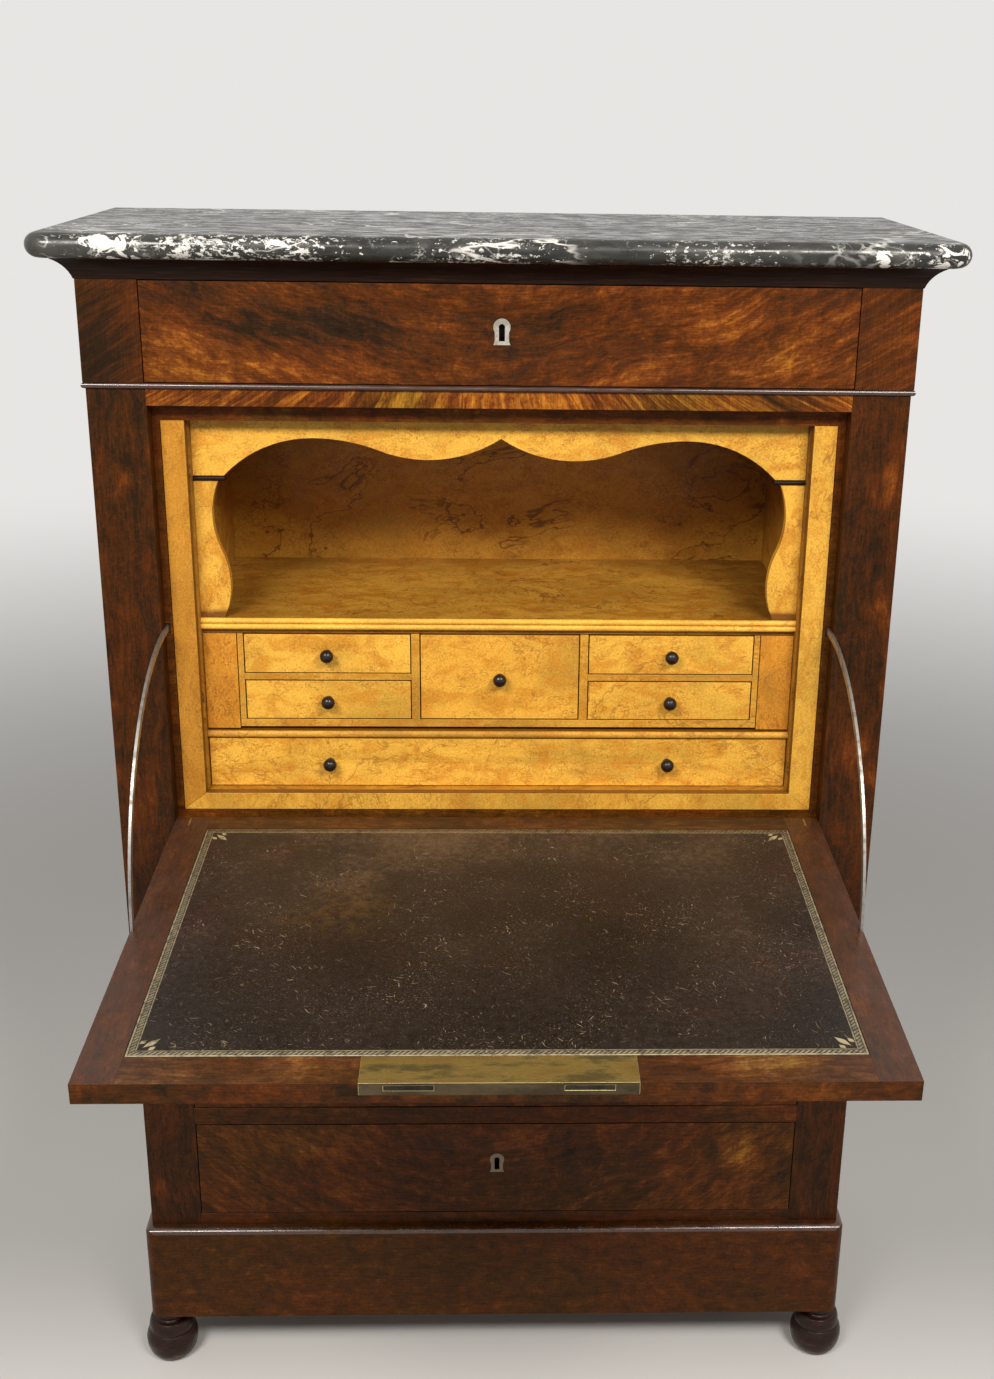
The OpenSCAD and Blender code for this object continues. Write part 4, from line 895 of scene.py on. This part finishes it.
class SECRETARY_OT_case(bpy.types.Operator):
    """Case of the secretary: sides, pilasters, rails, plinth and the panelled back"""

    bl_idname = "secretary.case"
    bl_label = "Case"

    # The plinth's rounded upper edge looks upwards by more than this
    RISING = 0.15
    # Dark and light place of the frieze's ends: middle and reach along Z and X, and height
    END_GLOW = ((1.35, -0.43, 0.14, 0.06, -0.2), (1.37, 0.43, 0.09, 0.05, 0.08))

    def execute(self, context):
        upright = {"grain": 2, "across": 0}
        polish = {"gloss": 0.8, "rough": 0.2}
        plinth_look = {"level": 0.39, "stroke": 0.2, "burl": 0.5, "olive": 0.7, "hue": (0.96, 1.03, 1.1),
                       "seed": 5.0}
        plain = plain_wood("plain_wood")
        finishes = {
            "side_panels": mahogany("side", grain=2, across=1, level=0.4, stroke=0.45, burl=0.4, blotch=0.2,
                                    seed=4.0),
            "pilasters": mahogany("pilaster", **upright, level=0.31, stroke=0.4, burl=0.3, blotch=0.28,
                                  olive=0.2, seed=1.0),
            "upper_rail": mahogany("rail", **upright, level=0.58, fan=6.0, centre=1.29, stroke=0.9, olive=0.9,
                                   seed=2.0, spots=((1.31, 0.0, 0.3, 0.25, 0.12),)),
            "drawer_rails": mahogany("lower_rail", level=0.38, stroke=0.35, olive=0.8, seed=3.0),
            "frieze_blocks": mahogany("frieze_end", **upright, level=0.38, plume=0.8, stroke=0.4, seed=6.0,
                                      spots=self.END_GLOW),
            "cornice": moulding("dark_moulding"),
            "bead_moulding": moulding("bead", tone=3.0, **polish),
            # The stop strip's lighter level is painted light on a strip that lies in shade
            "fall_stops": mahogany("lit_stop", level=0.52, stroke=0.3, olive=0.9, seed=7.0),
            "back_frame": plain_wood("plain_wood_upright", grain=2, tone=0.85),
            "back_panels": plain_wood("back_panel_wood", grain=2, tone=1.25),
            "top_board": plain}
        for node, finish in finishes.items():
            paint(worn(node), finish)
        plinth = worn("plinth")
        number_faces(plinth, lambda centre, normal: normal[:, 2] > self.RISING)
        paint(plinth, mahogany("plinth", **plinth_look), mahogany("plinth_edge", **polish, **plinth_look))
        for node in ("deck_board", "dust_boards", "drawer_guides", "bottom_board", "corner_blocks"):
            paint(frame["nodes"][node], plain)
        return {"FINISHED"}


class SECRETARY_OT_feet(bpy.types.Operator):
    """Turned bun feet"""

    bl_idname = "secretary.feet"
    bl_label = "Feet"

    def execute(self, context):
        paint(worn("bun_feet", 0.5), foot_wood())
        return {"FINISHED"}


class SECRETARY_OT_interior(bpy.types.Operator):
    """Maple interior: frame, niche, valance, shelves and blank panels"""

    bl_idname = "secretary.interior"
    bl_label = "Interior"

    # Depth of the shelf's front edge, brighter with painted light, width of the frame's left member,
    # darker with painted shade, and how far above their feet the side brackets are darkened by a painted
    # band that stands for a dark bead and the shade under it
    LIP, STILE, BRACKET_DUSK = 7*MM, 50*MM, 13*MM
    # Painted shade in the niche and painted shadow on the shelf: middle and reach along X and Z, and strength
    NICHE_PAINTED_SHADE = ((-0.3, 1.24, 0.18, 0.18, 0.8), (0.32, 1.24, 0.2, 0.22, 1.0), (0.0, 1.27, 0.5, 0.08, 0.6))
    SHELF_PAINTED_SHADOW = ((-0.3, 0.0, 0.1, 9.0, 0.35), (0.35, 0.0, 0.14, 9.0, 0.9))

    def execute(self, context):
        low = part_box("side_brackets")[0][2]
        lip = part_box("niche_shelf")[0][1] + self.LIP
        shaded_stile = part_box("maple_frame")[0][0] + self.STILE
        # Dark reddish maple on the members' sides: painted gap shade, partly their unpolished wood
        edge = maple("edge", tone=0.3, warm=1.0, seed=8.0)
        # The shelf's front edge in brighter maple: painted light on its beads
        bright = maple("lip", tone=1.1, mottle=0.4, seed=10.0)
        finishes = {
            # Niche case and shelf: darker maple as painted shade, with darker spots of painted shade
            "unit_case": maple("case", tone=0.63, warm=0.5, veins=1.0, mottle=1.1, seed=2.6,
                               painted_shade=self.NICHE_PAINTED_SHADE),
            "niche_shelf": maple("shelf", tone=0.58, warm=0.35, veins=0.8, mottle=1.4, seed=3.0,
                                 painted_shade=self.SHELF_PAINTED_SHADOW),
            "valance": maple("valance", tone=0.9, veins=0.3, seed=4.0),
            # Brackets: a dark band painted above their feet, for a dark bead and the shade under it
            "side_brackets": maple("bracket", grain=2, tone=0.9, seed=5.0,
                                   painted_shade=((0.0, low, 4.0, self.BRACKET_DUSK, 2.5),)),
            "row_boards": maple("boards", tone=0.84, warm=0.25, seed=6.0),
            "blank_panels": maple("blank", grain=2, tone=0.9, warm=0.85, mottle=1.4, seed=7.0)}
        for node, finish in finishes.items():
            piece = worn(node)
            if node in ("row_boards", "blank_panels"):
                number_faces(piece, lambda centre, normal: np.abs(normal[:, 1]) < FACING)
            if node == "niche_shelf":
                number_faces(piece, lambda centre, normal: centre[:, 1] < lip)
            paint(piece, finish, bright if node == "niche_shelf" else edge)

        def finish_of(centre, normal):
            return np.where(np.abs(normal[:, 1]) < FACING, 1, np.where(centre[:, 0] < shaded_stile, 2, 0))

        surround = worn("maple_frame")
        number_faces(surround, finish_of)
        # The frame's left member is a darker copy of its maple: painted shade
        paint(surround, maple("frame", grain=2, tone=0.88, mottle=0.8, seed=1.0), edge,
              maple("shaded_stile", grain=2, tone=0.72, warm=0.7, mottle=0.8, seed=1.0))
        paint(worn("valance_beads"), moulding("dark_bead"))
        return {"FINISHED"}


class SECRETARY_OT_drawers(bpy.types.Operator):
    """All drawers: figured fronts, plain boxes, knobs, locks and bolts"""

    bl_idname = "secretary.drawers"
    bl_label = "Drawers"

    # Thickness of the fronts, how deep a key plate's finish reaches, and the fronts' slack
    LONG_FRONT, SMALL_FRONT, KEY_PLATE, SLACK = 20*MM, 11*MM, 5*MM, 0.05*MM
    # Light and dark places of two fronts: middle and reach along X and Z, and height
    FRIEZE_GLOW = ((-0.33, 1.365, 0.07, 0.035, 0.16), (-0.22, 1.34, 0.16, 0.03, 0.18),
                   (0.24, 1.4, 0.08, 0.04, 0.18), (-0.2, 1.39, 0.16, 0.04, -0.24),
                   (0.04, 1.4, 0.12, 0.05, -0.18), (0.3, 1.35, 0.12, 0.035, 0.16),
                   (-0.33, 1.42, 0.12, 0.03, -0.14), (0.1, 1.34, 0.1, 0.025, 0.06),
                   (-0.04, 1.37, 0.09, 0.03, -0.12))
    LOWER_GLOW = ((0.31, 0.33, 0.045, 0.05, 0.26), (0.03, 0.35, 0.05, 0.04, 0.12),
                  (-0.21, 0.35, 0.11, 0.05, 0.14), (-0.26, 0.3, 0.06, 0.06, -0.1),
                  (0.1, 0.33, 0.05, 0.06, -0.12), (0.22, 0.3, 0.05, 0.06, 0.1))
    # Key plate of the frieze, those of the long drawers, and the tarnish of both
    SILVERY, BROWNED, PLATE_TARNISH = (0.62, 0.58, 0.5), (0.17, 0.13, 0.09), (0.1, 0.075, 0.05)
    # Lock cases behind the fronts, and the bolts' tarnish
    IRON, RUST = (0.03, 0.026, 0.022), (0.012, 0.01, 0.008)
    STEEL_TARNISH = (0.06, 0.05, 0.045)

    def execute(self, context):
        steel = settings()[1].steel
        hidden = {"level": 0.43, "plume": 0.7, "stroke": 0.45, "burl": 0.6}
        long_fronts = {
            "frieze_drawer": mahogany("frieze", level=0.46, plume=0.55, stroke=0.55, burl=0.6, olive=0.25,
                                      spots=self.FRIEZE_GLOW),
            "upper_drawer": mahogany("upper", **hidden, seed=8.0),
            "middle_drawer": mahogany("middle", **hidden, seed=9.0),
            "lower_drawer": mahogany("lower", level=0.42, plume=0.8, stroke=0.4, burl=0.65, olive=0.6,
                                     hue=(0.96, 1.04, 1.1), seed=10.0, spots=self.LOWER_GLOW)}
        box = plain_wood("drawer_wood", tone=1.2), plain_wood("drawer_side_wood", grain=1, tone=1.1)
        # Near-black edges of the long fronts: painted shade for the gaps round them
        edge = moulding("drawer_gap_shade", tone=1.5)
        dark_iron = metal("dark_iron", self.IRON, self.RUST, rough=0.55)
        for node, finish in long_fronts.items():
            self.drawer(node, finish, box, edge, self.LONG_FRONT)
            lock = worn(node + "_lock", 0.4)
            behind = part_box(node)[0][1] + self.KEY_PLATE
            number_faces(lock, lambda centre, normal: centre[:, 1] > behind)
            plate = self.SILVERY if node == "frieze_drawer" else self.BROWNED
            paint(lock, metal("plate_" + node, plate, self.PLATE_TARNISH), dark_iron)
            paint(frame["nodes"][node + "_bolt"], metal("steel_" + node, steel, self.STEEL_TARNISH))
        box = (plain_wood("inner_drawer_wood", tone=1.5),
               plain_wood("inner_drawer_side_wood", grain=1, tone=1.4))
        # Dark reddish edges of the small fronts: painted shade for the gaps round them
        edge = maple("drawer_gap_shade", tone=0.3, warm=1.0, seed=9.0)
        black = black_wood()
        small = ("wide_drawer", "centre_drawer", "left_top_drawer", "left_low_drawer", "right_top_drawer",
                 "right_low_drawer")
        for seed, node in enumerate(small, 11):
            finish = maple(node, seed=seed, warm=0.25 if node == "centre_drawer" else 0.0)
            self.drawer(node, finish, box, edge, self.SMALL_FRONT)
            paint(worn(node + ("_knobs" if node == "wide_drawer" else "_knob"), 0.3), black)
        return {"FINISHED"}

    def drawer(self, node, front, box, edge, thickness):
        """The drawer: front in one finish, its edges darker with painted gap shade, the box behind it plain.

        The box has two finishes: the second has its grain along the sides.
        """
        piece = worn(node)
        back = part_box(node)[0][1] + thickness + self.SLACK

        def finish_of(centre, normal):
            behind = np.where(np.abs(normal[:, 0]) > FACING, 3, 1)
            return np.where(centre[:, 1] > back, behind, np.where(np.abs(normal[:, 1]) < FACING, 2, 0))

        number_faces(piece, finish_of)
        paint(piece, front, box[0], edge, box[1])


class SECRETARY_OT_fall(bpy.types.Operator):
    """Fall: frame, panel, leather, lock, hinges and quadrant stays"""

    bl_idname = "secretary.fall"
    bl_label = "Fall"

    # Tint of the fall's pink-brown wood, partly a painted haze of reflected light, and its paler places:
    # an orange figure patch, then a painted sheen: middle and reach along X and Y, and height
    PINK_HAZE_TINT = (0.78, 1.0, 2.2)
    FIGURE_AND_SHEEN = ((-0.19, -0.41, 0.09, 0.05, 0.14), (0.25, -0.405, 0.12, 0.035, 0.2))
    # How deep the outer face's finish reaches, and how far past the leather the end members begin
    OUTER_SKIN, SLACK = 0.5*MM, 0.05*MM
    # Faces whose normals have less than this across the fall are its edges
    LEVEL = 0.6
    # The leather's rows and columns of points; its waves' height, and how far in they begin
    ROWS, COLUMNS = 46, 69
    WAVE, RIM = 0.06*MM, 20*MM

    def execute(self, context):
        trim = settings()[1]
        outside = mahogany("fall_face", grain=1, across=0, level=0.43, stroke=0.5, burl=0.5, blotch=0.2,
                           seed=14.0)
        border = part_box("fall_leather")[1][0] + self.SLACK
        piece = worn("fall_frame")
        skin = min(straight("fall", [v.co for v in piece.data.vertices])[:, 1]) + self.OUTER_SKIN

        def finish_of(centre, normal):
            number = np.where(np.abs(centre[:, 0]) > border, 1, 0)
            number = np.where(np.abs(normal[:, 1]) < self.LEVEL, 3, number)
            return np.where(centre[:, 1] < skin, 2, number)

        number_faces(piece, finish_of)
        paint(piece,
              mahogany("fall", across=1, level=0.44, stroke=0.55, hue=self.PINK_HAZE_TINT, seed=12.0, gloss=0.3,
                       spots=self.FIGURE_AND_SHEEN),
              mahogany("fall_side", grain=1, across=0, level=0.41, stroke=0.3, burl=0.3, olive=0.0,
                       hue=self.PINK_HAZE_TINT, seed=13.0, gloss=0.5, rough=0.46),
              outside,
              mahogany("fall_edge", across=1, level=0.33, stroke=0.6, seed=15.0))
        paint(worn("fall_panel"), outside)
        self.leather()
        plate = worn("fall_lock_plate", 1.5)
        # The worn bevel takes the bright brass: rubbed metal, with a painted highlight where it catches light
        plate.modifiers[0].material = 2
        number_faces(plate, lambda centre, normal: normal[:, 2] > self.LEVEL)
        paint(plate,
              metal("lock_brass", (0.5, 0.39, 0.12), (0.11, 0.085, 0.035), rough=0.34, tarnish=0.9,
                    scale=55.0, stretch=3.0),
              metal("lock_brass_fold", (0.12, 0.09, 0.05), (0.05, 0.035, 0.02), rough=0.4, tarnish=0.8,
                    scale=30.0, stretch=3.0),
              metal("lock_brass_rubbed_lit_edge", (0.8, 0.68, 0.32), (0.5, 0.4, 0.14), rough=0.25, tarnish=0.5))
        steel = metal("stay_steel", tinted(trim.steel, 0.75), (0.16, 0.13, 0.1), rough=0.38, tarnish=0.7)
        paint(worn("stays", 0.6), steel)
        iron = metal("bolt_iron", (0.05, 0.042, 0.035), (0.02, 0.015, 0.012), rough=0.5)
        brass = metal("hinge_brass", trim.brass, (0.1, 0.07, 0.03))
        for node, finish in (("fall_lock_case", iron), ("fall_bolts", iron), ("fall_hinge_sockets", brass),
                             ("hinge_pins", brass)):
            paint(frame["nodes"][node], finish)
        return {"FINISHED"}

    def leather(self):
        """The leather: a thin grid on the panel that rises and sinks by the sum of two slow waves."""
        points = straight("fall", [v.co for v in frame["nodes"]["fall_leather"].data.vertices])
        low, high = points.min(axis=0), points.max(axis=0)
        across, out = np.meshgrid(np.linspace(low[0], high[0], self.COLUMNS),
                                  np.linspace(low[2], high[2], self.ROWS))
        thick = high[1] - low[1]
        u, v = across - low[0], out - low[2]
        size = (round(high[0] - low[0], 4), round(high[2] - low[2], 4))
        edge = np.minimum(np.minimum(u, size[0] - u), np.minimum(v, size[1] - v))
        wave = self.WAVE*(np.sin(31*u + 7*v) + np.sin(23*v - 11*u + 1.0))
        sink = -0.25*thick - wave*np.clip(edge/self.RIM, 0, 1)
        top = np.stack([across, high[1] + np.minimum(sink, 0.0), out], axis=-1)
        sheet = new_piece("leather_sheet", carried(OPENED, top), grid_faces(self.ROWS, self.COLUMNS),
                          uv=np.stack([u, v], axis=-1))
        backing = sheet.modifiers.new("thickness", "SOLIDIFY")
        backing.thickness = 0.6*thick
        backing.offset = -1.0
        stand_in(sheet, "fall_leather")
        paint(sheet, leather(size))


class SECRETARY_PT_panel(bpy.types.Panel):
    """Sidebar panel that lists the pieces and their settings"""

    bl_idname = "SECRETARY_PT_panel"
    bl_label = "Secretary"
    bl_space_type = "VIEW_3D"
    bl_region_type = "UI"
    bl_category = "Secretary"

    def draw(self, context):
        layout = self.layout
        for operator in OPERATORS:
            layout.operator(operator.bl_idname)
        for group in settings():
            box = layout.box()
            for key in group.__annotations__:
                box.prop(group, key)


OPERATORS = (SECRETARY_OT_stage, SECRETARY_OT_marble, SECRETARY_OT_case, SECRETARY_OT_feet,
             SECRETARY_OT_interior, SECRETARY_OT_drawers, SECRETARY_OT_fall)
GROUPS = {"secretary_wood": SecretaryWood, "secretary_trim": SecretaryTrim, "secretary_stage": SecretaryStage}


def register():
    """Adds the settings, operators and panel."""
    for name, group in GROUPS.items():
        bpy.utils.register_class(group)
        setattr(bpy.types.Scene, name, PointerProperty(type=group))
    for cls in (*OPERATORS, SECRETARY_PT_panel):
        bpy.utils.register_class(cls)


def unregister():
    """Takes the settings, operators and panel away."""
    for cls in (SECRETARY_PT_panel, *reversed(OPERATORS)):
        bpy.utils.unregister_class(cls)
    for name, group in GROUPS.items():
        delattr(bpy.types.Scene, name)
        bpy.utils.unregister_class(group)


def main():
    """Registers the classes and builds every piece."""
    register()
    bpy.ops.secretary.stage()
    bpy.ops.secretary.marble()
    bpy.ops.secretary.case()
    bpy.ops.secretary.feet()
    bpy.ops.secretary.interior()
    bpy.ops.secretary.drawers()
    bpy.ops.secretary.fall()


if __name__ == "__main__":
    main()
